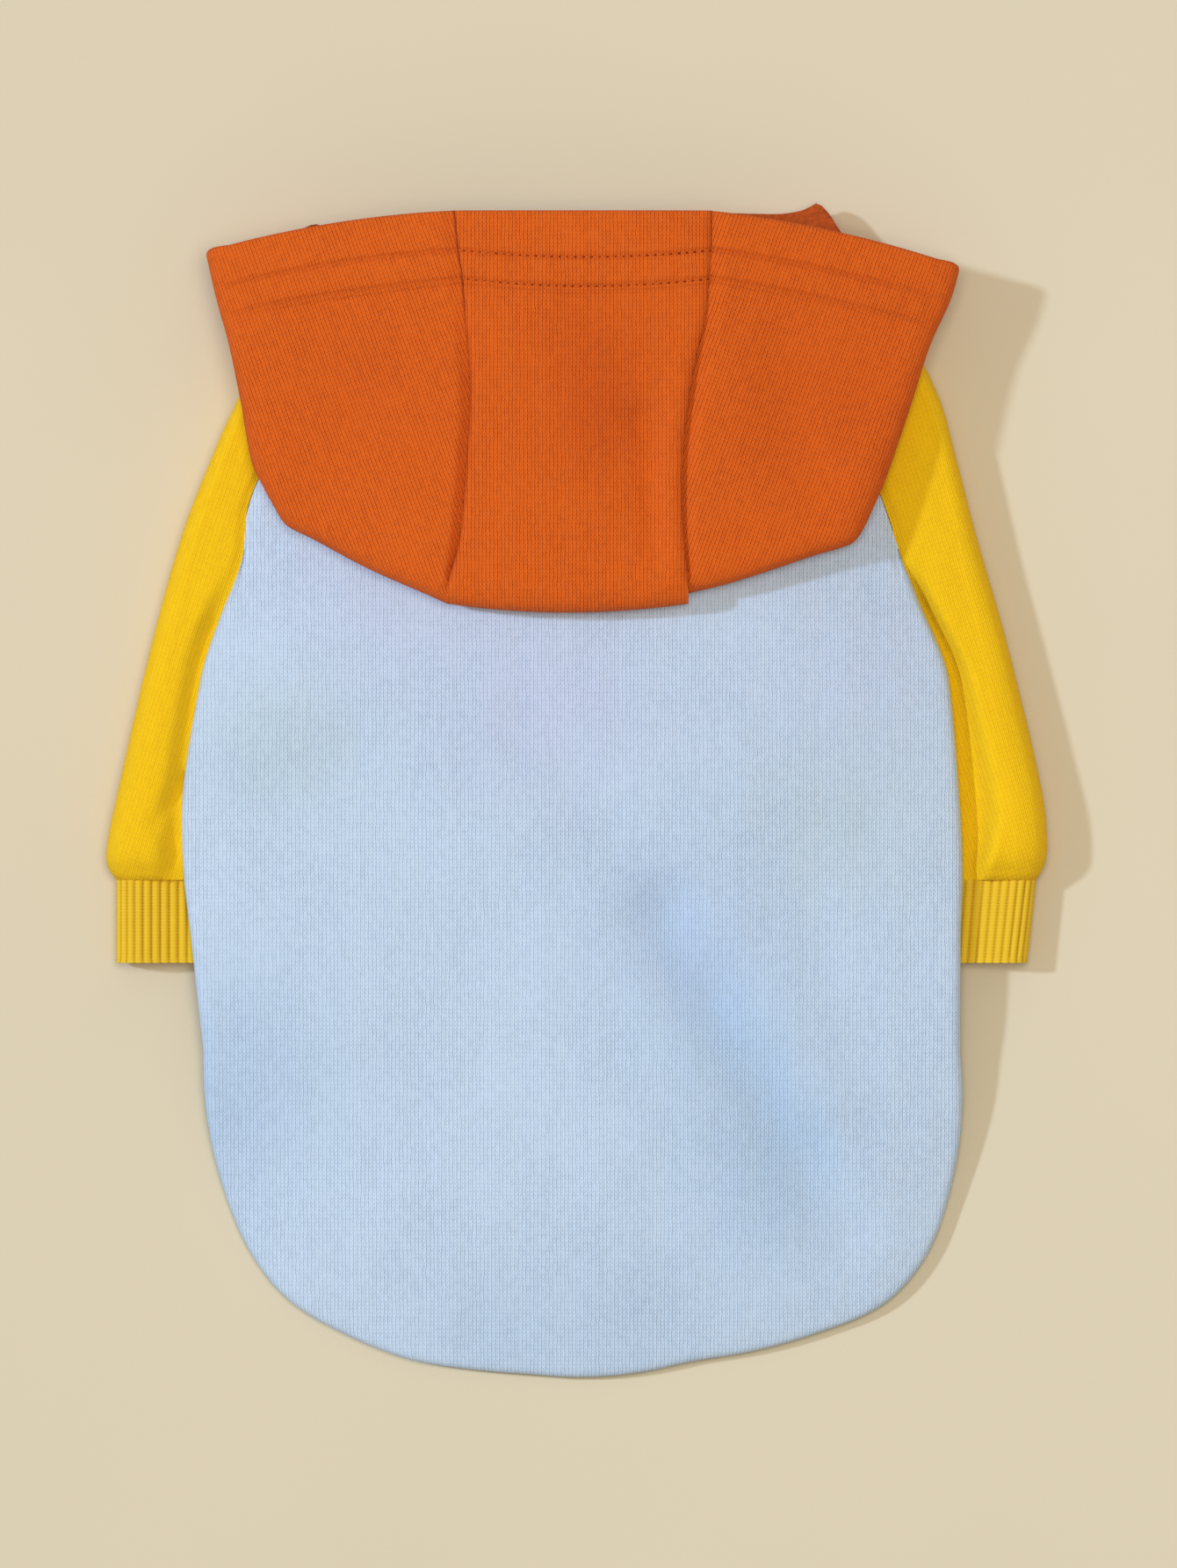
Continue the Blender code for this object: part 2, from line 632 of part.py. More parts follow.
def hood_middle_skin(depth):
    points = []
    radius = FOLD_THICK / 2
    for column in range(MIDDLE_COLUMNS):
        across = column / (MIDDLE_COLUMNS - 1)

        def spot_at(share):
            left = hood_seam(share, -1) + Vector((SEAM_GAP / 2, 0))
            right = hood_seam(share, 1) - Vector((SEAM_GAP / 2, 0))
            drop = MIDDLE_DROP * 4 * across * (1 - across) * share
            return left.lerp(right, across) - Vector((0, drop))

        middle = spot_at(1.0)
        for share in MIDDLE_ROWS:
            spot = spot_at(share)
            points.append((*spot, bed_height(*spot) + hood_loft(0.0, share) - depth))
        level = bed_height(*middle) + radius
        for angle in FOLD_ANGLES:
            turn = math.radians(angle)
            spot = middle + Vector((0, -(radius - depth) * math.cos(turn)))
            points.append((*spot, level + (radius - depth) * math.sin(turn)))
        for step in HOOD_UNDER_STEPS:
            spot = Vector((middle.x, middle.y + (NECK_Y + SEAM_GAP - middle.y) * step))
            points.append((*spot, bed_height(*spot) + depth))
    return points


def set_on_origin():
    """The origin goes under the middle of the hoodie, on the table."""
    corners = [Vector(vertex.co) for piece in hoodie.objects for vertex in piece.data.vertices]
    low = Vector([min(corner[axis] for corner in corners) for axis in range(3)])
    high = Vector([max(corner[axis] for corner in corners) for axis in range(3)])
    middle = Vector(((low.x + high.x) / 2, (low.y + high.y) / 2, low.z))
    for piece in hoodie.objects:
        piece.location = -middle


for old in list(bpy.data.objects):
    bpy.data.objects.remove(old, do_unlink=True)
hoodie = bpy.data.collections.new("dog_hoodie")
bpy.context.scene.collection.children.link(hoodie)

blue_knit = plain_material("sky_blue_knit", SKY_BLUE)
yellow_knit = plain_material("yellow_knit", SUN_YELLOW)
yellow_rib = plain_material("yellow_rib", RIB_YELLOW)
orange_knit = plain_material("orange_knit", BURNT_ORANGE)

cloth_piece("body_back", CLOTH, back_skin, back_faces(), blue_knit)
belly_columns = 2 * len(BELLY_STEPS) - 1
cloth_piece("belly_panel", CLOTH, belly_skin, grid_faces(len(BELLY_STATIONS), belly_columns), blue_knit)

sleeve_columns = len(SLEEVE_TOP_STEPS) + 2 * len(FOLD_ANGLES) + len(SLEEVE_UNDER_STEPS)
sleeve_faces = grid_faces(len(SLEEVE_STATIONS), sleeve_columns, closed=True)
hood_columns = len(HOOD_TOP_STEPS) + len(FOLD_ANGLES) + len(HOOD_UNDER_STEPS)
hood_faces = grid_faces(len(HOOD_STATIONS), hood_columns)
for side, side_name in ((-1, "left"), (1, "right")):
    def facing(faces, facing_side):
        return faces if side == facing_side else [tuple(reversed(face)) for face in faces]

    cloth_piece("sleeve_" + side_name, CLOTH, sleeve_skin(side), facing(sleeve_faces, 1), yellow_knit)
    ribbed, rib_points = cuff_skin(side)
    cuff_faces = grid_faces(len(CUFF_STATIONS), rib_points, closed=True)
    cloth_piece("cuff_" + side_name, RIB_CLOTH, ribbed, facing(cuff_faces, 1), yellow_rib)
    cloth_piece("hood_" + side_name, CLOTH, hood_side_skin(side), facing(hood_faces, -1), orange_knit)

middle_columns = len(MIDDLE_ROWS) + len(FOLD_ANGLES) + len(HOOD_UNDER_STEPS)
cloth_piece("hood_middle", CLOTH, hood_middle_skin, grid_faces(MIDDLE_COLUMNS, middle_columns), orange_knit)
set_on_origin()
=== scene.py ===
"""Dog hoodie of knitted cloth, laid on its belly with the hood folded back over its shoulders.

Metres, +Z up, +Y to the head end and +X to the right as the back is seen, as in the CAD.
"""
import math

import bpy
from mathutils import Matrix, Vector, noise


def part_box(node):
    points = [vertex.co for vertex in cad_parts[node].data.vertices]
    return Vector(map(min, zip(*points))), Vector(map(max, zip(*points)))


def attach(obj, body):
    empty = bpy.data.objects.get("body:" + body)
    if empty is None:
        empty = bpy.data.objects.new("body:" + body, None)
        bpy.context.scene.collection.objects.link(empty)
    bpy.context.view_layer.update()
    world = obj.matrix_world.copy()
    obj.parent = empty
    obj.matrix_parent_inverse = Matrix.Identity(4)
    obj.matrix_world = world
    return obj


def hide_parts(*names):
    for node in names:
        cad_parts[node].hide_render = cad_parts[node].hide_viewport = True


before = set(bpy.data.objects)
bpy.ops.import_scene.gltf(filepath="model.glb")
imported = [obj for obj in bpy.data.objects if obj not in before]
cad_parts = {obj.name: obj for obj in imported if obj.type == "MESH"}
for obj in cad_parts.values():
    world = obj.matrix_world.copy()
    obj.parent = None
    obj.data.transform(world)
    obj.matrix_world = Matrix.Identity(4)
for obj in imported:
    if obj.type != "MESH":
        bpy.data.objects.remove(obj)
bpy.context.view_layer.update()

# Back panel: one piece of sky blue sweatshirt knit over the dog's back, smooth outside and fleecy
# inside. It is sewn to the sleeves along the armholes, and along the sides and round the tail its edge
# is turned under, so that only a soft rounded fold shows.
CLOTH = 0.0020
SEAM_GAP = 0.0003
NECK_Y = 0.130
SIDE_LENGTH = 0.200
BODY_HALF = 0.105
TAIL_SHIFT = 0.002
UNDERARM = 0.325
TURNED_UNDER = 0.026
EDGE_THICK = 0.0060
TAIL_THICK = 0.0052
TAIL_FROM = 0.85
TAIL_RUN = 0.45
LIFT = 0.0079
LIFT_RUN = 0.009
SETTLE_RUN = 0.070
TURN_RUN = 0.036
SLEEVE_LENGTH = 0.1535
SLEEVE_PUFF = 0.0145
CUFF_LENGTH = 0.0220
#     share  left   right
BODY_SIDES = (
    (0.000, 0.571, 0.571),
    (0.150, 0.716, 0.698),
    (0.225, 0.805, 0.756),
    (0.275, 0.840, 0.792),
    (0.325, 0.850, 0.824),
    (0.360, 0.871, 0.850),
    (0.400, 0.899, 0.880),
    (0.460, 0.940, 0.930),
    (0.500, 0.960, 0.952),
    (0.650, 1.005, 0.978),
    (0.750, 1.004, 0.987),
    (0.850, 0.983, 0.982),
    (1.000, 0.952, 0.981))
#     share  left   right
BODY_TAIL = (
    (0.000, 0.971, 0.962),
    (0.220, 0.983, 1.000),
    (0.340, 0.993, 1.019),
    (0.440, 0.985, 1.003),
    (0.560, 0.940, 0.932),
    (0.670, 0.902, 0.878),
    (0.780, 0.860, 0.838),
    (0.890, 0.834, 0.830),
    (1.000, 0.829, 0.829))
#      share  height
BACK_CROWN = (
    (0.000, 0.0205),
    (0.150, 0.0220),
    (0.350, 0.0235),
    (0.500, 0.0238),
    (0.650, 0.0222),
    (0.850, 0.0185),
    (1.000, 0.0158))
CROWN_POWER = 2.4
EDGE_FLATTENS = 8
#    height  run    seed
BACK_RIPPLES = (
    (0.0007, 0.045, 3.0),
    (0.0003, 0.017, 8.0))
# Soft valleys: both ends as seen from the middle of the garment, half width and depth
BACK_VALLEYS = (
    (0.0240, -0.034, 0.0720, -0.119, 0.0140, 0.0028),
    (0.0620, -0.028, 0.0780, -0.085, 0.0120, 0.0009),
    (-0.060, 0.004, -0.030, -0.040, 0.0200, 0.0009),
    (-0.012, 0.020, 0.0220, -0.030, 0.0140, 0.0009),
    (-0.0890, 0.0675, -0.0800, 0.0655, 0.0022, 0.0015))
# Cloudy tints of the blue: middle, half width, and how much of it is blue, lilac and grey
CLOUDS = (
    (0.042, -0.070, 0.030, 0.42, 0.00, 0.00),
    (0.054, -0.108, 0.022, 0.55, 0.00, 0.00),
    (0.018, -0.140, 0.020, 0.20, 0.00, 0.00),
    (-0.092, -0.080, 0.028, 0.55, 0.00, 0.00),
    (-0.020, -0.148, 0.020, 0.28, 0.00, 0.00),
    (0.030, -0.035, 0.026, 0.40, 0.15, 0.00),
    (0.019, -0.027, 0.009, 0.36, 0.10, 0.00),
    (0.026, -0.038, 0.009, 0.42, 0.10, 0.00),
    (0.032, -0.050, 0.010, 0.42, 0.10, 0.00),
    (0.041, -0.063, 0.010, 0.40, 0.00, 0.00),
    (0.050, -0.077, 0.010, 0.36, 0.00, 0.00),
    (0.060, -0.092, 0.011, 0.32, 0.00, 0.00),
    (-0.004, 0.024, 0.026, 0.00, 0.75, 0.00),
    (0.075, 0.030, 0.028, 0.00, 0.45, 0.00),
    (-0.052, 0.052, 0.034, 0.00, 0.55, 0.00),
    (-0.078, 0.014, 0.022, 0.00, 0.00, 0.62),
    (0.070, -0.008, 0.022, 0.00, 0.00, 0.50))
SKY_BLUE = (0.610, 0.750, 0.930)
SKY_SHADE = (0.235, 0.320, 0.450)
CLOUD_BLUE = (0.470, 0.650, 0.890)
CLOUD_LILAC = (0.600, 0.665, 0.890)
CLOUD_GREY = (0.560, 0.690, 0.760)
BLUE_FLEECE = (0.620, 0.720, 0.820)
WALE = 0.00103
COURSE = 0.00106
# How far columns and rows of stitches wander, as shares of a stitch, and how a stitch's legs slant
COLUMN_WANDER = 0.55
ROW_WANDER = 0.5
LEG_SLANT = 0.75
# Unevenness of the dye by stitch, by column and by patch
STITCH_MOTTLE = 0.13
LINE_MOTTLE = 0.3
PATCH_MOTTLE = 0.18
# Scales of noise, for each metre
COLUMN_NOISE = 220.0
ROW_NOISE = 160.0
PATCH_NOISE = 28.0
FIBRE_NOISE = 3800.0
TUFT_NOISE = 900.0
FIBRE_SHARE = 0.4
KNIT_RELIEF = 0.00015
TUFT_RELIEF = 0.0006
# Painted crease shade goes this share of the way to the shade colour
CREASE_TONE = 0.45
FLEECE_TONE = 0.72
CLOTH_ROUGHNESS = 0.92
CLOTH_SHINE = 0.18
NAP_ROUGHNESS = 0.55
FINE = 0.0016
PAST_UNDERARM = 0.003
TAIL_STATIONS = 170
# A fold runs through these degrees, from just short of its top to its underside
FOLD_FROM = 60.0
FOLD_TURN = 150.0
FOLD_STEPS = 10
SHARP_FROM = math.radians(60)
FOLD_START = 0.0004
FOLD_WIDENS = 0.18
TOUCHING = 0.00005
SEAM_DIP = 0.0011
SEAM_DIP_WIDTH = 0.0030
SEAM_DIP_ENDS = 0.0120

belly_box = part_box("belly_panel")
left_cuff_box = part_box("cuff_left")
right_cuff_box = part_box("cuff_right")
laid_at = Vector(((left_cuff_box[0].x + right_cuff_box[1].x) / 2, belly_box[1].y - NECK_Y, 0.0))


def curve_at(rows, share):
    """The columns of a table at one share of its first column, on a smooth curve."""
    last = len(rows) - 1
    share = min(max(share, rows[0][0]), rows[last][0])
    at = 0
    while at < last - 1 and share > rows[at + 1][0]:
        at += 1
    span = rows[at + 1][0] - rows[at][0]
    t = (share - rows[at][0]) / span
    values = []
    for column in range(1, len(rows[0])):
        def slope(row):
            low, high = max(row - 1, 0), min(row + 1, last)
            return (rows[high][column] - rows[low][column]) / (rows[high][0] - rows[low][0])
        start, end = rows[at][column], rows[at + 1][column]
        levels = (2 * t ** 3 - 3 * t ** 2 + 1) * start + (3 * t ** 2 - 2 * t ** 3) * end
        slopes = (t ** 3 - 2 * t ** 2 + t) * slope(at) + (t ** 3 - t ** 2) * slope(at + 1)
        values.append(levels + span * slopes)
    return values


def ease(share):
    """A share held from 0 to 1, with a smooth start and end."""
    share = min(max(share, 0.0), 1.0)
    return share * share * (3 - 2 * share)


def even(count):
    """Evenly spaced shares from 0 to 1."""
    return [n / count for n in range(count + 1)]


def closer_at_edge(count, crowding):
    """Shares from 0 to 1 that draw closer together towards 1."""
    return [1 - (1 - share) ** crowding for share in even(count)]


def ripple(x, y, run, seed):
    """A soft unevenness between -1 and 1, about run metres from crest to crest."""
    return noise.noise(Vector((x / run, y / run, seed)))


def side_share(y):
    """Share of the straight side, from the neck seam, at which y lies."""
    return (NECK_Y - y) / SIDE_LENGTH


def half_width(y, side):
    """Distance of the body's edge from the middle line. side is -1 for left and 1 for right."""
    left, right = curve_at(BODY_SIDES, side_share(y))
    return BODY_HALF * (left if side < 0 else right)


def edge_lift(share):
    """Height of the underside of the folded edge."""
    cuff_end = (SLEEVE_LENGTH + CUFF_LENGTH + CLOTH) / SIDE_LENGTH
    climb = ease((share - UNDERARM) * SIDE_LENGTH / LIFT_RUN)
    return LIFT * climb * (1 - ease((share - cuff_end) * SIDE_LENGTH / SETTLE_RUN))


def edge_top(share):
    """Height of the upper side of the body's edge. Beside the armhole it is the sleeve's seam."""
    seam_height = SLEEVE_PUFF + SEAM_GAP
    if share <= UNDERARM:
        return seam_height
    thick = EDGE_THICK + (TAIL_THICK - EDGE_THICK) * ease((share - TAIL_FROM) / TAIL_RUN)
    folded = edge_lift(share) + thick
    return folded + (seam_height - folded) * (1 - ease((share - UNDERARM) * SIDE_LENGTH / TURN_RUN))


def turned_under(share):
    """Width of cloth under the edge, from almost nothing at the underarm to its full width."""
    grown = TURNED_UNDER * ease((share - UNDERARM) * SIDE_LENGTH / TURN_RUN)
    return max(grown, (edge_top(share) - edge_lift(share)) / 2 + CLOTH / 2)


def valleys(x, y, rows):
    """Depth at one place of all the soft valleys of a table."""
    deep = 0.0
    for x0, y0, x1, y1, width, depth in rows:
        start, run = Vector((x0, y0)), Vector((x1 - x0, y1 - y0))
        offset = Vector((x, y)) - start
        along = min(max(offset.dot(run) / run.length_squared, 0.0), 1.0)
        away = (offset - run * along).length / width
        deep += depth * math.exp(-2 * away * away)
    return deep


def crown_height(crown, top, q):
    """Height of the back at a share q of the way out from the middle line."""
    return top + (crown - top) * (1 - q ** CROWN_POWER)


def grid(rows, columns, closed=False):
    """Quads between the rows of a grid of points."""
    faces = []
    for row in range(rows - 1):
        for column in range(columns if closed else columns - 1):
            after = (column + 1) % columns
            faces.append((row * columns + column, row * columns + after,
                          (row + 1) * columns + after, (row + 1) * columns + column))
    return faces


def put_in_scene(name, data):
    made = bpy.data.objects.new(name, data)
    bpy.context.scene.collection.objects.link(made)
    return made


def facing_out(faces, side):
    """The faces as they are on the right side, turned over for the left."""
    return faces if side > 0 else [tuple(reversed(face)) for face in faces]


def closed_wall(name, wall, skin, faces, cloth, lining, marked="shaded"):
    """A closed wall of cloth. skin(depth) gives points that deep below the outer face, each with its
    place on the flat cloth and one more number, kept under the name marked."""
    outer, inner = skin(0.0), skin(wall)
    first = {}
    same = [first.setdefault(tuple(round(c, 7) for c in point[:3]), i) for i, point in enumerate(outer)]
    kept = []
    for face in faces:
        ring = [same[i] for i in face]
        ring = [a for a, b in zip(ring, ring[1:] + ring[:1]) if a != b]
        if len(ring) > 2:
            kept.append(ring)
    edges = {(a, b) for ring in kept for a, b in zip(ring, ring[1:] + ring[:1])}
    cut_edges = sorted((a, b) for a, b in edges if (b, a) not in edges)
    used = sorted({i for ring in kept for i in ring})
    place = {i: n for n, i in enumerate(used)}
    count = len(used)
    rows = [outer[i] for i in used] + [inner[i] for i in used]
    polygons = [[place[i] for i in ring] for ring in kept]
    polygons += [[place[i] + count for i in reversed(ring)] for ring in kept]
    polygons += [[place[b], place[a], place[a] + count, place[b] + count] for a, b in cut_edges]
    mesh = bpy.data.meshes.new(name)
    mesh.from_pydata([Vector(row[:3]) + laid_at for row in rows], [], polygons)
    flat = mesh.uv_layers.new(name="flat_cloth")
    for loop in mesh.loops:
        flat.data[loop.index].uv = rows[loop.vertex_index][3:5]
    marks = mesh.attributes.new(marked, "FLOAT", "POINT")
    marks.data.foreach_set("value", [row[5] for row in rows])
    mesh.shade_smooth()
    mesh.set_sharp_from_angle(angle=SHARP_FROM)
    mesh.materials.append(cloth)
    mesh.materials.append(lining)
    for polygon in mesh.polygons[len(kept):2 * len(kept)]:
        polygon.material_index = 1
    return put_in_scene(name + "_cloth", mesh)


def take_place(piece, name):
    """Puts a finished piece in the place of its CAD node."""
    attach(piece, "root")
    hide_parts(name)
    return piece


def sew(name, wall, skin, faces, cloth, lining):
    """A panel of cloth in the place of its CAD node."""
    return take_place(closed_wall(name, wall, skin, faces, cloth, lining), name)


class Yarn:
    """One socket of a node tree. An expression on it adds the nodes that work it out."""

    def __init__(self, tree, socket=None):
        self.tree = tree
        self.socket = socket

    def node(self, kind, settings=None, inputs=None, output=0):
        made = self.tree.nodes.new(kind)
        for name, value in (settings or {}).items():
            setattr(made, name, value)
        for name, value in (inputs or {}).items():
            if isinstance(value, Yarn):
                self.tree.links.new(value.socket, made.inputs[name])
            else:
                made.inputs[name].default_value = value
        return Yarn(self.tree, made.outputs[output] if made.outputs else None)

    def output(self, number):
        return Yarn(self.tree, self.socket.node.outputs[number])

    def maths(self, operation, *values):
        return self.node("ShaderNodeMath", {"operation": operation}, dict(enumerate(values)))

    def __add__(self, other):
        return self.maths("ADD", self, other)

    __radd__ = __add__

    def __mul__(self, other):
        return self.maths("MULTIPLY", self, other)

    __rmul__ = __mul__

    def __sub__(self, other):
        return self.maths("SUBTRACT", self, other)

    def __rsub__(self, other):
        return self.maths("SUBTRACT", other, self)

    def __truediv__(self, other):
        return self.maths("DIVIDE", self, other)

    def __pow__(self, other):
        return self.maths("POWER", self, other)

    def fract(self):
        return self.maths("FRACT", self)

    def floor(self):
        return self.maths("FLOOR", self)

    def size(self):
        return self.maths("ABSOLUTE", self)

    def step(self, low, high):
        return self.node("ShaderNodeMapRange", {"interpolation_type": "SMOOTHSTEP"},
                         {0: self, 1: low, 2: high, 3: 0.0, 4: 1.0})

    def mix(self, under, over):
        """The colour under, covered by the colour over as far as this value says."""
        return self.node("ShaderNodeMix", {"data_type": "RGBA"}, {0: self, 6: under, 7: over}, output=2)

    def noise(self, scale, detail=2.0):
        """Noise from 0 to 1 at a scale for each metre, on this position."""
        return self.node("ShaderNodeTexNoise", {"noise_dimensions": "3D"},
                         {"Vector": self, "Scale": scale, "Detail": detail})


def toned(colour, tone=1.0):
    """A shader's colour, darker or lighter by a factor."""
    return (*[c * tone for c in colour], 1.0)


def cloth_shader(material, colour, bump_height, bump_distance, sheen):
    """Ends a material in matt cloth with a faint nap."""
    tree = material.node_tree
    shader = tree.nodes["Principled BSDF"]
    bump = colour.node("ShaderNodeBump",
                       inputs={"Height": bump_height, "Distance": bump_distance, "Strength": 1.0})
    tree.links.new(colour.socket, shader.inputs["Base Color"])
    tree.links.new(bump.socket, shader.inputs["Normal"])
    shader.inputs["Roughness"].default_value = CLOTH_ROUGHNESS
    shader.inputs["Specular IOR Level"].default_value = CLOTH_SHINE
    shader.inputs["Sheen Weight"].default_value = sheen
    shader.inputs["Sheen Roughness"].default_value = NAP_ROUGHNESS


def new_material(name):
    material = bpy.data.materials.new(name)
    material.use_nodes = True
    return material, Yarn(material.node_tree)


def plain_knit(name, yarn_colour, shade_colour, wale, course, gap_depth, sheen, tints=()):
    """Stocking stitch: columns of nested V stitches with painted shade between them, painted crease
    shade where the mesh's shaded mark says, and clouds of other tints.
    """
    material, start = new_material(name)
    flat = start.node("ShaderNodeUVMap", {"uv_map": "flat_cloth"})
    place = start.node("ShaderNodeTexCoord", output=3)
    # The columns and the rows wander a little
    wobble = flat.noise(COLUMN_NOISE, 1.0) - 0.5
    parts = flat.node("ShaderNodeSeparateXYZ", inputs={0: flat})
    columns = parts / wale + wobble * COLUMN_WANDER
    rows = parts.output(1) / course + (flat.noise(ROW_NOISE, 1.0) - 0.5) * ROW_WANDER
    # Each stitch is a V of two legs, fullest along the middle of a leg
    across = (columns.fract() - 0.5).size() * 2.0
    loop_row = rows + across * LEG_SLANT
    loop = 1.0 - (loop_row.fract() * 2.0 - 1.0) ** 2.0
    leg = 1.0 - (across * 1.7 - 0.85) ** 2.0
    relief = leg * (0.35 + 0.65 * loop)
    # Painted shade: dark between the columns and in the opening of each V, where the yarn's relief
    # would shade
    gap = across.step(0.55, 1.0) * (1.0 - 0.55 * loop)
    middle = (1.0 - across.step(0.0, 0.35)) * (1.0 - loop) * 0.55
    # Every stitch, every column and every patch is a little lighter or darker than the next
    stitch = start.node("ShaderNodeCombineXYZ", inputs={0: columns.floor(), 1: loop_row.floor()})
    each = start.node("ShaderNodeTexWhiteNoise", {"noise_dimensions": "2D"}, {"Vector": stitch})
    line = start.node("ShaderNodeTexWhiteNoise", {"noise_dimensions": "1D"}, {"W": columns.floor()})
    patchy = flat.noise(PATCH_NOISE, 3.0)
    uneven = (0.6 + 0.8 * patchy) * (0.82 + 0.36 * each)
    mottled = (each - 0.5) * STITCH_MOTTLE + (patchy - 0.5 + (line - 0.5) * LINE_MOTTLE) * PATCH_MOTTLE
    dark = (gap + middle) * gap_depth * uneven + mottled
    shaded = start.node("ShaderNodeAttribute", {"attribute_name": "shaded"}, output=2)
    colour = toned(yarn_colour)
    position = place.node("ShaderNodeSeparateXYZ", inputs={0: place})
    for tint, weights in tints:
        total = None
        for x, y, width, weight in weights:
            away = ((position - x) ** 2.0 + (position.output(1) - y) ** 2.0) / (width * width)
            fade = 0.0 - away * (0.55 + 0.9 * place.noise(34.0, 2.0))
            cloud = fade.maths("EXPONENT", fade) * weight
            total = cloud if total is None else total + cloud
        colour = total.maths("MINIMUM", total, 1.0).mix(colour, toned(tint))
    colour = dark.maths("MAXIMUM", dark, 0.0).mix(colour, toned(shade_colour))
    # Painted shade: each point's shaded mark darkens the colour, in the hood's seam creases and stitch
    # furrows
    colour = shaded.mix(colour, toned(shade_colour, CREASE_TONE))
    fibres = flat.noise(FIBRE_NOISE, 2.0)
    cloth_shader(material, colour, relief + fibres * FIBRE_SHARE, KNIT_RELIEF, sheen)
    return material


def fleece(name, colour, sheen=0.35):
    """The brushed inside of the cloth."""
    material, start = new_material(name)
    place = start.node("ShaderNodeTexCoord", output=3)
    tufts = place.noise(TUFT_NOISE, 4.0)
    mixed = tufts.step(0.3, 0.75).mix(toned(colour, FLEECE_TONE), toned(colour))
    cloth_shader(material, mixed, tufts, TUFT_RELIEF, sheen)
    return material


def cloud_rows(rows, column):
    """Middle, half width and one column of a table of clouds, where the garment lies."""
    return [(row[0] + laid_at.x, row[1] + laid_at.y, row[2], row[column])
            for row in rows if row[column]]


blue_knit = plain_knit("sky_blue_knit", SKY_BLUE, SKY_SHADE, WALE, COURSE, gap_depth=0.90, sheen=0.06,
                       tints=[(tint, cloud_rows(CLOUDS, column)) for column, tint in
                              enumerate((CLOUD_BLUE, CLOUD_LILAC, CLOUD_GREY), start=3)])
blue_fleece = fleece("blue_fleece", BLUE_FLEECE)


def body_stations():
    """Foot on the middle line, place on the outline and its share of the side length."""
    turn = Vector((TAIL_SHIFT, NECK_Y - SIDE_LENGTH))
    sides = []
    at_underarm = [UNDERARM - SEAM_GAP / SIDE_LENGTH, UNDERARM, UNDERARM + PAST_UNDERARM]
    for share in sorted(even(round(SIDE_LENGTH / FINE))[:-1] + at_underarm):
        y = NECK_Y - share * SIDE_LENGTH
        sides.append((Vector((TAIL_SHIFT * share, y)), y, share))
    stations = [(foot, Vector((-half_width(y, -1), y)), share) for foot, y, share in sides]
    for turned in even(TAIL_STATIONS):
        quarter = 1 - abs(2 * turned - 1)
        left, right = curve_at(BODY_TAIL, quarter)
        radius = BODY_HALF * (left if turned < 0.5 else right)
        angle = math.pi * (1 + turned)
        edge = turn + Vector((math.cos(angle), math.sin(angle))) * radius
        stations.append((turn, edge, side_share(edge.y)))
    stations += [(foot, Vector((half_width(y, 1), y)), share) for foot, y, share in reversed(sides)]
    return stations


def seam_dip(away):
    """How far the cloth is drawn down beside an armhole's seam."""
    return SEAM_DIP * (1 - ease(away / SEAM_DIP_WIDTH))


BODY_STATIONS = body_stations()
BACK_STEPS = closer_at_edge(56, 1.25)
FOLD_ANGLES = [math.radians(FOLD_FROM - FOLD_TURN * turned) for turned in even(FOLD_STEPS)]
LIP_STEPS = even(8)[1:]


def back_skin(depth):
    points = []
    for foot, edge, share in BODY_STATIONS:
        folded = share >= UNDERARM
        out = (edge - foot).normalized()
        reach = (edge - foot).length
        under, top = edge_lift(share), edge_top(share)
        radius = (top - under) / 2
        wide = min(radius, FOLD_START + (share - UNDERARM) * SIDE_LENGTH * FOLD_WIDENS)
        flat = reach - wide if folded else reach - TOUCHING
        crown, = curve_at(BACK_CROWN, share)
        dipped = 1 - ease((share - UNDERARM) * SIDE_LENGTH / SEAM_DIP_ENDS)
        for q in BACK_STEPS:
            spot = foot + out * (q * flat)
            relief = sum(high * ripple(*spot, run, seed) for high, run, seed in BACK_RIPPLES)
            relief -= valleys(*spot, BACK_VALLEYS)
            height = crown_height(crown, top, q) + relief * (1 - q ** EDGE_FLATTENS)
            height -= seam_dip(flat * (1 - q)) * dipped
            points.append((*spot, height - depth, *spot, 0.0))
        for turn in FOLD_ANGLES:
            spot = foot + out * (flat + max(wide - depth, SEAM_GAP) * math.cos(turn))
            laid = foot + out * (flat + radius * (math.pi / 2 - turn))
            points.append((*spot, (top + under) / 2 + (radius - depth) * math.sin(turn), *laid, 0.0))
        lip = turned_under(share)
        for step in LIP_STEPS:
            spot = foot + out * (flat + (reach - lip - flat) * step)
            laid = foot + out * (flat + radius * math.pi + (flat - reach + lip) * step)
            points.append((*spot, under + depth, *laid, 0.0))
    return points


def back_faces():
    """The folded edge is left out beside the armholes, where the sleeves are sewn on."""
    columns = len(BACK_STEPS) + len(FOLD_ANGLES) + len(LIP_STEPS)
    faces = []
    for face in grid(len(BODY_STATIONS), columns):
        row, column = divmod(face[0], columns)
        beside_armhole = min(BODY_STATIONS[row][2], BODY_STATIONS[row + 1][2]) < UNDERARM
        if column < len(BACK_STEPS) - 1 or not beside_armhole:
            faces.append(face)
    return faces


back = sew("body_back", CLOTH, back_skin, back_faces(), blue_knit, blue_fleece)

# Belly panel: the same blue knit under the chest, flat on the table.
# It is sewn to the back panel's turned-under edge along both sides and ends in a hem.
BELLY_LENGTH = 0.172
BELLY_SLOPE = 0.014
BELLY_ROWS = 80
BELLY_STEPS = closer_at_edge(30, 1.4)


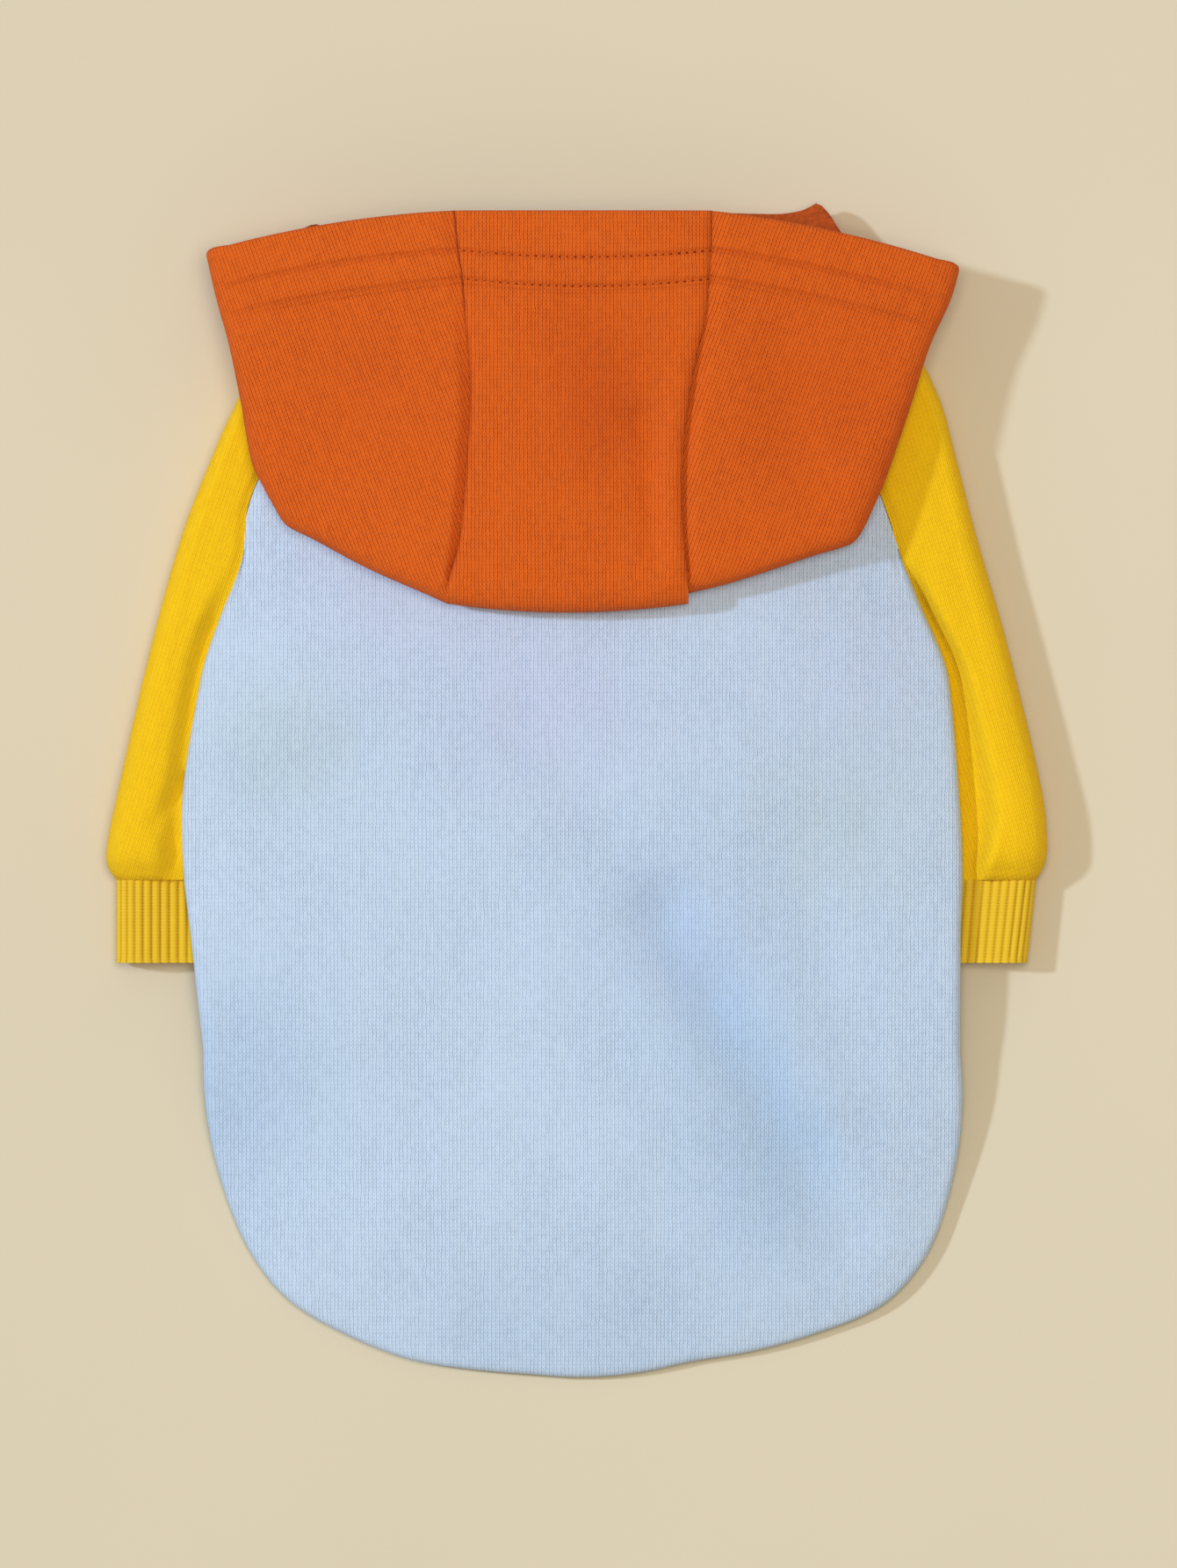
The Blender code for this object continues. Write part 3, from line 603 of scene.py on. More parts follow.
def belly_skin(depth):
    points = []
    for step in even(BELLY_ROWS):
        share = step * BELLY_LENGTH / SIDE_LENGTH
        y = NECK_Y - share * SIDE_LENGTH
        for side in (-1, 1):
            lip = turned_under(share) * ease((share - UNDERARM) * SIDE_LENGTH / LIFT_RUN + 1)
            width = half_width(y, side) - lip - SEAM_GAP
            for q in (BELLY_STEPS if side > 0 else reversed(BELLY_STEPS[1:])):
                x = width * q
                rise = ease(1 - (width - x) / BELLY_SLOPE) * edge_lift(share)
                points.append((side * x, y, rise + depth, side * x, y, 0.0))
    return points


belly = sew("belly_panel", CLOTH, belly_skin, grid(BELLY_ROWS + 1, 2 * len(BELLY_STEPS) - 1),
            blue_knit, blue_fleece)

# Sleeves: yellow sweatshirt knit, each a tube sewn into its armhole and gathered a little at the cuff.
# The back panel's edge presses them down beside the chest, and they puff up outside it.
SLEEVE_REACH = 0.0632
SLEEVE_EDGE_SHARE = 0.96
SLEEVE_SHOULDER = 0.35
SLEEVE_SETTLE = 0.14
CUFF_WIDTH = 0.0430
UNDERARM_TUCKED = 0.0006
ARMHOLE_SHARE = 0.25
ARMHOLE_END = 0.0040
#     share  outer left  outer right  inner
SLEEVE_EDGES = (
    (0.000, 0.000, 0.000, 0.000),
    (0.050, 0.060, 0.085, 0.000),
    (0.120, 0.100, 0.137, 0.010),
    (0.220, 0.114, 0.151, 0.022),
    (0.310, 0.117, 0.141, 0.025),
    (0.440, 0.114, 0.123, 0.018),
    (0.625, 0.092, 0.102, 0.006),
    (0.870, 0.051, 0.063, 0.000),
    (0.956, 0.034, 0.037, 0.000),
    (0.987, 0.020, 0.018, 0.000),
    (1.000, 0.000, 0.000, 0.000))
#     share  height
SLEEVE_RISE = (
    (0.00, 1.00),
    (0.60, 1.01),
    (0.80, 1.09),
    (0.92, 1.16),
    (0.97, 1.08),
    (1.00, 0.76))
# Strip of sleeve that stays pressed beside the body, by the distance from the neck seam:
# its width and the width of the rise outside it
#     from   left width, rise   right width, rise
PRESSED_STRIP = (
    (0.066, -0.0010, 0.0040, -0.0006, 0.0032),
    (0.074, 0.0000, 0.0050, 0.0004, 0.0038),
    (0.087, 0.0010, 0.0060, 0.0012, 0.0046),
    (0.106, 0.0015, 0.0060, 0.0030, 0.0060),
    (0.125, 0.0015, 0.0060, 0.0050, 0.0072),
    (0.137, 0.0015, 0.0065, 0.0048, 0.0075),
    (0.150, 0.0020, 0.0070, 0.0020, 0.0060))
# Below the underarm each sleeve's top sinks over this length to the pressed strip
UNDERARM_RUN = {-1: 0.036, 1: 0.016}
# Least share of its full height that each sleeve keeps beside the body
HELD_UP = {-1: 0.42, 1: 0.0}
SLEEVE_DIMPLES = {-1: ((-0.1050, 0.0035, -0.1140, -0.0085, 0.0036, 0.0036),
                       (-0.1145, -0.0085, -0.1070, -0.0170, 0.0040, 0.0012)),
                  1: ((0.1110, 0.0010, 0.1080, -0.0135, 0.0032, 0.0012),
                      (0.1080, -0.0135, 0.1045, -0.0205, 0.0030, 0.0014))}
SLEEVE_RIPPLE = 0.0006
SLEEVE_RIPPLE_RUN = 0.028
SLEEVE_RIPPLE_SEED = 12.0
YELLOW_WALE = 0.00112
YELLOW_COURSE = 0.00115
SUN_YELLOW = (0.960, 0.585, 0.0060)
YELLOW_SHADE = (0.620, 0.330, 0.0040)
YELLOW_FLEECE = (0.850, 0.580, 0.080)
GRAIN_TILT = math.radians(18)
SLEEVE_ROWS = 130
SLEEVE_STEPS = 46
UNDERSIDE_STEPS = 14

yellow_knit = plain_knit("yellow_knit", SUN_YELLOW, YELLOW_SHADE, YELLOW_WALE, YELLOW_COURSE,
                         gap_depth=0.5, sheen=0.02)
yellow_fleece = fleece("yellow_fleece", YELLOW_FLEECE)
ARM_Y = NECK_Y - UNDERARM * SIDE_LENGTH


def sleeve_corners(side):
    """The neck corner, the cuff's outer and inner corners and the underarm of one sleeve."""
    neck = Vector((side * (half_width(NECK_Y, side) + SEAM_GAP), NECK_Y))
    cuff_y = NECK_Y - SLEEVE_LENGTH
    cuff_outer = Vector((neck.x + side * SLEEVE_REACH, cuff_y))
    cuff_inner = Vector((cuff_outer.x - side * CUFF_WIDTH, cuff_y))
    underarm = Vector((side * (half_width(ARM_Y, side) - UNDERARM_TUCKED), ARM_Y + SEAM_GAP))
    return neck, cuff_outer, cuff_inner, underarm


def sleeve_edges(share, side):
    """Places on the outer and inner edge of a sleeve at one share of its length."""
    neck, cuff_outer, cuff_inner, underarm = sleeve_corners(side)
    bows = curve_at(SLEEVE_EDGES, share)

    def bowed(start, end, bow):
        line = end - start
        return start + line * share + Vector((-line.y, line.x)) * side * bow

    return bowed(neck, cuff_outer, bows[0 if side < 0 else 1]), bowed(underarm, cuff_inner, bows[2])


def sleeve_height(spot, share, side):
    """Height of the sleeve's top: pressed under the body's edge and puffed outside it."""
    full = SLEEVE_PUFF * curve_at(SLEEVE_RISE, share)[0]
    pressed = min(LIFT - SEAM_GAP, full)
    outside = abs(spot.x) - half_width(spot.y, side)
    strip = curve_at(PRESSED_STRIP, NECK_Y - spot.y)
    width, rise = strip[0:2] if side < 0 else strip[2:4]
    below_arm = ARM_Y - spot.y
    beside = max(HELD_UP[side], ease(1 - below_arm / UNDERARM_RUN[side]))
    free = beside + (1 - beside) * ease((outside - width) / rise)
    dented = valleys(*spot, SLEEVE_DIMPLES[side]) * free
    dented -= SLEEVE_RIPPLE * free * ripple(*spot, SLEEVE_RIPPLE_RUN, SLEEVE_RIPPLE_SEED + side)
    dented += seam_dip(max(outside, 0.0)) * ease(1 - below_arm / SEAM_DIP_ENDS)
    return pressed + (full - pressed) * free - dented


def armhole_curve(spot, share, side):
    """Carries the sleeve's first sections out to the curved side of the body that they are sewn to."""
    if share > ARMHOLE_SHARE or not ARM_Y < spot.y < NECK_Y:
        return spot
    neck, underarm = sleeve_corners(side)[0], sleeve_corners(side)[3]
    straight = abs(neck.x) + (abs(underarm.x) - abs(neck.x)) * (NECK_Y - spot.y) / (NECK_Y - ARM_Y)
    curved = half_width(spot.y, side) + TOUCHING
    carried = (1 - ease(share / ARMHOLE_SHARE)) * ease((spot.y - ARM_Y) / ARMHOLE_END)
    return Vector((spot.x + side * (curved - straight) * carried, spot.y))


def on_grain(spot, tilt):
    """A point's place on cloth whose columns of stitches are tilted."""
    along = Vector((math.cos(tilt), math.sin(tilt)))
    return spot.dot(along), spot.dot(Vector((-along.y, along.x)))


def sleeve_skin(side):
    def skin(depth):
        points = []
        tilt = side * GRAIN_TILT
        for share in even(SLEEVE_ROWS):
            outer, inner = sleeve_edges(share, side)
            across = (inner - outer).normalized()
            width = (inner - outer).length
            full = SLEEVE_PUFF * curve_at(SLEEVE_RISE, share)[0]
            outer_height = max(full * SLEEVE_EDGE_SHARE, min(LIFT - SEAM_GAP, full))
            inner_height = sleeve_height(inner, share, side)
            big, small = outer_height / 2, inner_height / 2
            tuck = min(small, FOLD_START + share * (CUFF_LENGTH + SLEEVE_LENGTH) * FOLD_WIDENS)
            flat = width - big - tuck
            for turn in reversed(FOLD_ANGLES):
                spot = outer + across * (big - (big - depth) * math.cos(turn))
                spot = armhole_curve(spot, share, side)
                laid = on_grain(outer + across * (big + big * (turn - math.pi / 2)), tilt)
                points.append((*spot, big + (big - depth) * math.sin(turn), *laid, 0.0))
            for step in even(SLEEVE_STEPS):
                spot = armhole_curve(outer + across * (big + flat * step), share, side)
                height = sleeve_height(spot, share, side)
                height = outer_height + (height - outer_height) * ease(step / SLEEVE_SHOULDER)
                height += (inner_height - height) * ease((step - 1) / SLEEVE_SETTLE + 1)
                points.append((*spot, height - depth, *on_grain(spot, tilt), 0.0))
            for turn in FOLD_ANGLES:
                spot = inner - across * (tuck - max(tuck - depth, SEAM_GAP) * math.cos(turn))
                spot = armhole_curve(spot, share, side)
                laid = on_grain(inner + across * (small * (math.pi / 2 - turn) - tuck), tilt)
                points.append((*spot, small + (small - depth) * math.sin(turn), *laid, 0.0))
            for step in reversed(even(UNDERSIDE_STEPS)[1:-1]):
                spot = armhole_curve(outer + across * (big + flat * step), share, side)
                points.append((*spot, depth, *on_grain(spot, tilt), 0.0))
        return points
    return skin


sleeve_faces = grid(SLEEVE_ROWS + 1, SLEEVE_STEPS + 2 * len(FOLD_ANGLES) + UNDERSIDE_STEPS,
                    closed=True)
for side, side_name in ((-1, "left"), (1, "right")):
    sleeve = sew("sleeve_" + side_name, CLOTH, sleeve_skin(side), facing_out(sleeve_faces, side),
                 yellow_knit, yellow_fleece)

# Cuffs: yellow one-and-one rib, a band sewn to each sleeve's end and a little narrower than it.
# The ribs are rows of stitches that stand up with a deep furrow between them.
RIB_CLOTH = 0.0016
RIB_PITCH = 0.0021
RIB_DEPTH = 0.0007
RIB_COURSE = 0.00085
RIB_RELIEF = 0.00012
CUFF_TUCKED = 0.0011
CUFF_TAPER = 0.0024
CUFF_HEIGHT = 0.0100
CUFF_SLOPE = 0.013
RIB_YELLOW = (0.820, 0.530, 0.026)
RIB_SHADE = (0.480, 0.250, 0.008)
RIB_COUNT = round(2 * CUFF_WIDTH / RIB_PITCH)
POINTS_PER_RIB = 8
CUFF_ROWS = 24
# A share of a rib, so that the points in the furrows all fall on the same side of a furrow
RIB_START = 1e-4
RIB_ROUNDNESS = 0.7
# The ribs grow flatter to this share of their depth over the last part of the cuff
RIBBED_AT_END = 0.35
ENDING_RUN = 1 / 8


def rib_knit():
    """One wide column of stitches for each rib, with painted shade in the furrows and between the rows
    of loops.
    """
    material, start = new_material("yellow_rib")
    flat = start.node("ShaderNodeUVMap", {"uv_map": "flat_cloth"})
    parts = flat.node("ShaderNodeSeparateXYZ", inputs={0: flat})
    across = ((parts / RIB_PITCH).fract() - 0.5).size() * 2.0
    rows = parts.output(1) / RIB_COURSE + (flat.noise(300.0, 1.0) - 0.5) * 0.4
    loop = 1.0 - (rows.fract() * 2.0 - 1.0) ** 2.0
    # Painted shade: darker in the furrows between the ribs and between the rows of loops
    furrow = 1.0 - (1.0 - across).step(0.0, 0.50)
    each = flat.noise(140.0, 3.0)
    dark = furrow * (0.85 - 0.35 * loop) + (1.0 - loop) * 0.08 + (each - 0.5) * 0.25
    colour = dark.maths("MAXIMUM", dark, 0.0).mix(toned(RIB_YELLOW), toned(RIB_SHADE))
    fibres = flat.noise(FIBRE_NOISE, 2.0)
    cloth_shader(material, colour, loop * 0.5 + fibres * 0.5, RIB_RELIEF, sheen=0.02)
    return material


def start_tree(name, sizes):
    """A Geometry Nodes tree with a named input for each size, as the socket of its geometry."""
    tree = bpy.data.node_groups.new(name, "GeometryNodeTree")
    tree.interface.new_socket("Given", in_out="INPUT", socket_type="NodeSocketGeometry")
    for size_name, size in sizes.items():
        socket = tree.interface.new_socket(size_name, in_out="INPUT", socket_type="NodeSocketFloat")
        socket.default_value = size
    tree.interface.new_socket("Made", in_out="OUTPUT", socket_type="NodeSocketGeometry")
    return Yarn(tree).node("NodeGroupInput")


def end_tree(made, material):
    """Ends a tree as plain meshes of one material, and gives the tree."""
    real = made.node("GeometryNodeRealizeInstances", inputs={"Geometry": made})
    dyed = made.node("GeometryNodeSetMaterial", inputs={"Geometry": real, "Material": material})
    made.node("NodeGroupOutput", inputs={"Made": dyed})
    return made.tree


def ribbing_tree(material):
    """Draws the cloth in between the ribs, along its normal, by its place around the band."""
    band = start_tree("ribbing", {"Pitch": RIB_PITCH, "Depth": RIB_DEPTH})
    flat = band.node("GeometryNodeInputNamedAttribute", {"data_type": "FLOAT_VECTOR"},
                     {"Name": "flat_cloth"})
    share = band.node("GeometryNodeInputNamedAttribute", {"data_type": "FLOAT"}, {"Name": "ribbed"})
    around = flat.node("ShaderNodeSeparateXYZ", inputs={0: flat})
    turn = (around / band.output(1) + RIB_START).fract() * math.pi
    drawn_in = (turn.maths("SINE", turn) ** RIB_ROUNDNESS - 1.0) * band.output(2) * share
    normal = band.node("GeometryNodeInputNormal")
    offset = normal.node("ShaderNodeVectorMath", {"operation": "SCALE"}, {0: normal, "Scale": drawn_in})
    ribbed = band.node("GeometryNodeSetPosition", inputs={"Geometry": band, "Offset": offset})
    return end_tree(ribbed, material)


def made_by_nodes(name, guide, tree, sizes):
    """A plain mesh of what a tree makes of a guide object, which it takes the place of."""
    modifier = guide.modifiers.new(tree.name, "NODES")
    modifier.node_group = tree
    for item in tree.interface.items_tree:
        if item.name in sizes:
            modifier[item.identifier] = sizes[item.name]
    graph = bpy.context.evaluated_depsgraph_get()
    mesh = bpy.data.meshes.new_from_object(guide.evaluated_get(graph), preserve_all_data_layers=True,
                                           depsgraph=graph)
    bpy.data.objects.remove(guide, do_unlink=True)
    return put_in_scene(name, mesh)


def cuff_skin(side):
    outer_corner, inner_corner = sleeve_corners(side)[1:3]
    count = RIB_COUNT * POINTS_PER_RIB

    def skin(depth):
        points = []
        for share in even(CUFF_ROWS):
            down = Vector((0, -SEAM_GAP - CUFF_LENGTH * share + (CUFF_TUCKED if share == 0 else 0.0)))
            taper = CUFF_TAPER * share if side > 0 else 0.0
            outer = outer_corner + down - Vector((side * taper, 0))
            inner = inner_corner + down
            thick, thin = CUFF_HEIGHT / 2, (LIFT - SEAM_GAP) / 2
            across = (inner - outer).normalized()
            flat = (inner - outer).length - thick - thin
            total = 2 * flat + math.pi * (thick + thin)
            for n in range(count):
                along = total * n / count
                round_inner = along - flat
                round_outer = along - 2 * flat - math.pi * thin
                if along < flat:
                    place, turn = thick + along, math.pi / 2
                    level = thin + (thick - thin) * 2 * (1 - ease(along / CUFF_SLOPE))
                elif round_inner < math.pi * thin:
                    place, level, turn = thick + flat, thin, math.pi / 2 - round_inner / thin
                elif round_outer < 0:
                    place, level, turn = thick - round_outer, thin, -math.pi / 2
                else:
                    place, level, turn = thick, thick, -math.pi / 2 - round_outer / thick
                radius = (thick if round_outer >= 0 else thin) - depth
                spot = outer + across * (place + radius * math.cos(turn))
                ribbed = 0.0 if depth else min(1.0, (1.0 - share) / ENDING_RUN + RIBBED_AT_END)
                points.append((*spot, level + radius * math.sin(turn),
                               n * RIB_PITCH / POINTS_PER_RIB, CUFF_LENGTH * share, ribbed))
        return points
    return skin


yellow_rib = rib_knit()
ribbing = ribbing_tree(yellow_rib)
rib_faces = grid(CUFF_ROWS + 1, RIB_COUNT * POINTS_PER_RIB, closed=True)
for side, side_name in ((-1, "left"), (1, "right")):
    band = closed_wall("cuff_" + side_name, RIB_CLOTH, cuff_skin(side), facing_out(rib_faces, side),
                       yellow_rib, yellow_rib, "ribbed")
    cuff = made_by_nodes(band.name, band, ribbing, {"Pitch": RIB_PITCH, "Depth": RIB_DEPTH})
    take_place(cuff, "cuff_" + side_name)

# Hood: three panels of orange sweatshirt knit, two sides and a middle one that runs over the head.
# It lies folded back on the shoulders, rim to the front, its lower layer sewn to the neck and its
# sides' knit slanting away from the middle. The rim is turned in once and stitched down in two rows.
HOOD_CLEARANCE = 0.0007
TENT_FROM = 0.72
TENT_TO = 1.35
HOOD_HALF = 0.100
HOOD_DEPTH = 0.1073
RIM_Y = 0.1553
RIM_THICK = 0.0090
FOLD_THICK = 0.0112
THICKENS_FROM = 0.1
THICKENS_OVER = 0.4
HOOD_LOFT = 0.0135
THROAT_DEPTH = 0.0225
RIM_BOW = 0.0016
RIM_ROUND = 0.0013
CORNER_ROUND = 0.0022
RIM_BOW_END = 0.3
MIDDLE_DROP = 0.0024
SEAM_DOWN = 0.978
CHIN_LOW = 0.625
THROAT_END = 0.075
NAPE_START = 0.140
CHIN_END = 0.06
HEM_ROWS = (0.0106, 0.0182)
HEM_RISE = 0.0011
FURROW = 0.0008
FURROW_WIDTH = 0.0007
# Painted shade along the furrow of each row of stitches on the side panels
FURROW_SHADE = 0.10
ROW_SAG = 0.0016
# The turned-in cloth ends this far below the lower row and takes so much to do it
HEM_END = (0.0004, 0.0012)
HEM_THICKER = 1.45
HEM_FLATTENS = 10
HOOD_RIPPLE = 0.0005
HOOD_RIPPLE_RUN = 0.035
HOOD_RIPPLE_SEED = 5.0
# Each side panel sinks beside the middle one: so much at the rim, and so much more below the hem
SUNK_SIDE = (0.0009, 0.0014)
SUNK_WIDTH = {-1: 0.0046, 1: 0.0060}
# The side panels reach this far in under the middle one, whose edges curl down to them
SIDE_TUCKED = 0.0006
CURL_LEFT = 0.0013
CURL_RIGHT = 0.0006
CURL_WIDTH = 0.0020
# A ridge runs along the middle panel's right edge, by its share of the panel's width
RIDGE = 0.0008
RIDGE_AT = 0.94
RIDGE_WIDTH = 0.05
# The middle panel's seam edges get this share of the painted crease shade
MIDDLE_CREASE = 0.6
SEAM_CROWDING = 0.3
# Where the cloth below the hem begins and how long it takes, as shares of the seam
BELOW_HEM = (0.20, 0.30)
#         x      down
HOOD_EDGE_LEFT = (
    (0.994, 0.092),
    (0.963, 0.218),
    (0.930, 0.330),
    (0.897, 0.479),
    (0.868, 0.625),
    (0.838, 0.685),
    (0.806, 0.739),
    (0.780, 0.778),
    (0.755, 0.794),
    (0.710, 0.814),
    (0.560, 0.889),
    (0.400, 0.955),
    (0.345, SEAM_DOWN))
HOOD_EDGE_RIGHT = (
    (1.030, 0.130),
    (1.003, 0.218),
    (0.949, 0.330),
    (0.897, 0.479),
    (0.858, 0.588),
    (0.826, 0.672),
    (0.796, 0.737),
    (0.768, 0.792),
    (0.743, 0.824),
    (0.710, 0.838),
    (0.640, 0.857),
    (0.510, 0.898),
    (0.400, 0.930),
    (0.300, 0.952))
# Share of the seam's length that each side panel is sewn to: the right one ends short of the fold
SEWN_SHARE = {-1: 1.0, 1: 0.973}
#     share  left   right
HOOD_SEAMS = (
    (0.00, 0.330, 0.362),
    (0.12, 0.318, 0.359),
    (0.17, 0.310, 0.355),
    (0.28, 0.300, 0.346),
    (0.41, 0.286, 0.317),
    (0.52, 0.284, 0.299),
    (0.64, 0.291, 0.286),
    (0.80, 0.303, 0.283),
    (0.91, 0.318, 0.289),
    (1.00, 0.345, 0.300))
#     share  x      rise  forward
NECK_SEAM = (
    (0.000, 0.000, 0.00, 1.00),
    (0.030, 0.000, 0.00, 0.45),
    (0.050, 0.000, 0.00, 0.00),
    (0.062, 0.500, 0.00, 0.00),
    (0.075, 0.900, 0.00, 0.04),
    (0.090, 1.030, 0.20, 0.09),
    (0.115, 1.040, 0.70, 0.07),
    (0.140, 0.985, 1.00, 0.00))
#     share  left   right
CHIN_RIM = (
    (0.00, 0.000, 0.000),
    (0.15, 0.040, 0.090),
    (0.24, 0.190, 0.140),
    (0.27, 0.160, 0.230),
    (0.30, 0.130, 0.430),
    (0.33, 0.115, 0.530),
    (0.36, 0.115, 0.450),
    (0.42, 0.120, 0.370),
    (0.50, 0.115, 0.335),
    (0.60, 0.110, 0.300),
    (0.80, 0.070, 0.150),
    (1.00, 0.000, 0.000))
HOOD_DENTS = (
    (0.0180, 0.100, 0.0215, 0.066, 0.0055, 0.0014),
    (0.0140, 0.098, 0.0170, 0.072, 0.0150, 0.0014),
    (0.004, 0.128, 0.030, 0.118, 0.0100, 0.0010),
    (-0.055, 0.110, -0.070, 0.080, 0.0120, 0.0009),
    (0.055, 0.118, 0.062, 0.080, 0.0120, 0.0010))
# Deeper tints of the orange: middle, half width and how much of it
HOOD_CLOUDS = (
    (0.003, 0.117, 0.014, 0.55),
    (0.006, 0.098, 0.014, 0.60),
    (-0.055, 0.108, 0.022, 0.30),
    (0.064, 0.108, 0.020, 0.30))
ORANGE_WALE = 0.00100
ORANGE_COURSE = 0.00110
BURNT_ORANGE = (0.790, 0.134, 0.0100)
DEEP_ORANGE = (0.660, 0.098, 0.0080)
ORANGE_SHADE = (0.280, 0.028, 0.0030)
ORANGE_FLEECE = (0.560, 0.090, 0.012)
SIDE_GRAIN = math.radians(20)
# Painted shade in the creases along the hood's seams: how dark at the seam, and how far out it fades
CREASE_SHADE = 0.80
CREASE_WIDTH = 0.0009

orange_knit = plain_knit("orange_knit", BURNT_ORANGE, ORANGE_SHADE, ORANGE_WALE, ORANGE_COURSE,
                         gap_depth=1.20, sheen=0.02, tints=[(DEEP_ORANGE, cloud_rows(HOOD_CLOUDS, 3))])
orange_fleece = fleece("orange_fleece", ORANGE_FLEECE, sheen=0.05)


def bed_height(x, y):
    """Height of the back, or of the sleeve beside it, under any point of the hood, which hangs
    smoothly over the body's edge."""
    share = max(side_share(y), 0.0)
    q = abs(x) / half_width(min(y, NECK_Y), -1 if x < 0 else 1)
    crown, = curve_at(BACK_CROWN, share)
    top = edge_top(share)
    if q < TENT_FROM:
        return crown_height(crown, top, q) + HOOD_CLEARANCE
    run = TENT_TO - TENT_FROM
    u = min((q - TENT_FROM) / run, 1.0)
    start = 1 - TENT_FROM ** CROWN_POWER
    slope = -CROWN_POWER * TENT_FROM ** (CROWN_POWER - 1)
    tent = start * (2 * u ** 3 - 3 * u ** 2 + 1) + slope * run * (u ** 3 - 2 * u ** 2 + u)
    return top + (crown - top) * tent + HOOD_CLEARANCE


def fold_thick(share):
    """Thickness of the hood's folded edge, from the rim down to the fold at the back."""
    return RIM_THICK + (FOLD_THICK - RIM_THICK) * ease((share - THICKENS_FROM) / THICKENS_OVER)


def hood_loft(q, share):
    """Thickness of the hood from layer to layer: least at its folded edge and most mid hood."""
    thick = fold_thick(share)
    return thick + (HOOD_LOFT - thick) * (1 - q * q) * (1 - share ** 4)


def hood_seam(share, side):
    """Place on the seam between the middle panel and a side one, from the rim to the fold."""
    left, right = curve_at(HOOD_SEAMS, share)
    x = side * HOOD_HALF * (left if side < 0 else right)
    return Vector((x, RIM_Y - (HOOD_DEPTH * SEAM_DOWN - FOLD_THICK / 2) * share))


def edge_table(side):
    """A side panel's outer edge by the share of its length, and that length."""
    rows = HOOD_EDGE_LEFT if side < 0 else HOOD_EDGE_RIGHT
    places = [Vector((side * x * HOOD_HALF, RIM_Y - down * HOOD_DEPTH)) for x, down in rows]
    lengths = [0.0]
    for a, b in zip(places, places[1:]):
        lengths.append(lengths[-1] + (b - a).length)
    return [(length / lengths[-1], *place) for length, place in zip(lengths, places)], lengths[-1]


def neck_seam(share, side):
    """Place and height of the neck seam that the hood's side panel ends on."""
    x, rise, forward = curve_at(NECK_SEAM, share)
    x = max(x * half_width(NECK_Y, side), SEAM_GAP / 2)
    if share > NAPE_START:
        along_nape = (share - NAPE_START) / (1 - NAPE_START)
        x += (abs(hood_seam(1.0, side).x) + SEAM_GAP / 2 - x) * along_nape
    return Vector((side * x, NECK_Y + SEAM_GAP + forward * THROAT_DEPTH)), max(rise, 0.0)


def stitched(below_rim):
    """1 along the rows of stitches, falling to 0 beside them."""
    return sum(math.exp(-((below_rim - row) / FURROW_WIDTH) ** 2) for row in HEM_ROWS)


def hem(below_rim):
    """Extra height of the turned-in rim, with a furrow along each row of stitches."""
    after, run = HEM_END
    rise = HEM_RISE * (1 - ease((below_rim - HEM_ROWS[1] - after) / run))
    return rise - FURROW * stitched(below_rim)


def hem_sheet(depth, below_rim):
    """How deep the cloth goes: the turned-in rim is thicker, and it is rounded towards the rim."""
    thick = depth * HEM_THICKER if below_rim < HEM_ROWS[1] else depth
    turned_in = rounded(RIM_ROUND, below_rim)
    return thick + (-turned_in if depth else turned_in)


def hood_top(spot, q, share, hem_height):
    """Height of the hood's upper layer with its dents, for a height of the hem at that place."""
    dents = valleys(*spot, HOOD_DENTS) - HOOD_RIPPLE * ripple(*spot, HOOD_RIPPLE_RUN, HOOD_RIPPLE_SEED)
    return bed_height(*spot) + hood_loft(q, share) + hem_height * (1 - q ** HEM_FLATTENS) - dents


def past_hem(share):
    """0 on the rim's hem, growing to 1 below it."""
    start, run = BELOW_HEM
    return ease((share - start) / run)


def rim_bow(q, share):
    """How far the rim bows up in the middle of a side panel, which fades out below it."""
    return RIM_BOW * 4 * q * (1 - q) * (1 - ease(share / RIM_BOW_END))


def sag(across):
    """From 0 at the middle panel's seams to 1 half way between them."""
    return 4 * across * (1 - across)


def rounded(radius, away):
    """How far a rounded edge falls back, that far away from the edge."""
    short = max(radius - away, 0.0)
    return radius - math.sqrt(max(radius * radius - short * short, 0.0))


def middle_spot(share, across):
    """A place on the middle panel, which drops a little between its seams."""
    spot = hood_seam(share, -1).lerp(hood_seam(share, 1), across)
    return spot - Vector((0, MIDDLE_DROP * sag(across) * share))


def closer_first(step, first, rest):
    """Shares from 0 to 1: some a small step apart, and the rest evenly spaced over what is left."""
    start = step * first
    return [step * n for n in range(first)] + [start + (1 - start) * share for share in even(rest)]


HOOD_ROWS = closer_first(0.004, 52, 84)
TOP_STEPS = closer_first(0.006, 6, 72)
UNDER_STEPS = even(60)[1:]
SEAM_LENGTH = HOOD_DEPTH * SEAM_DOWN - FOLD_THICK / 2


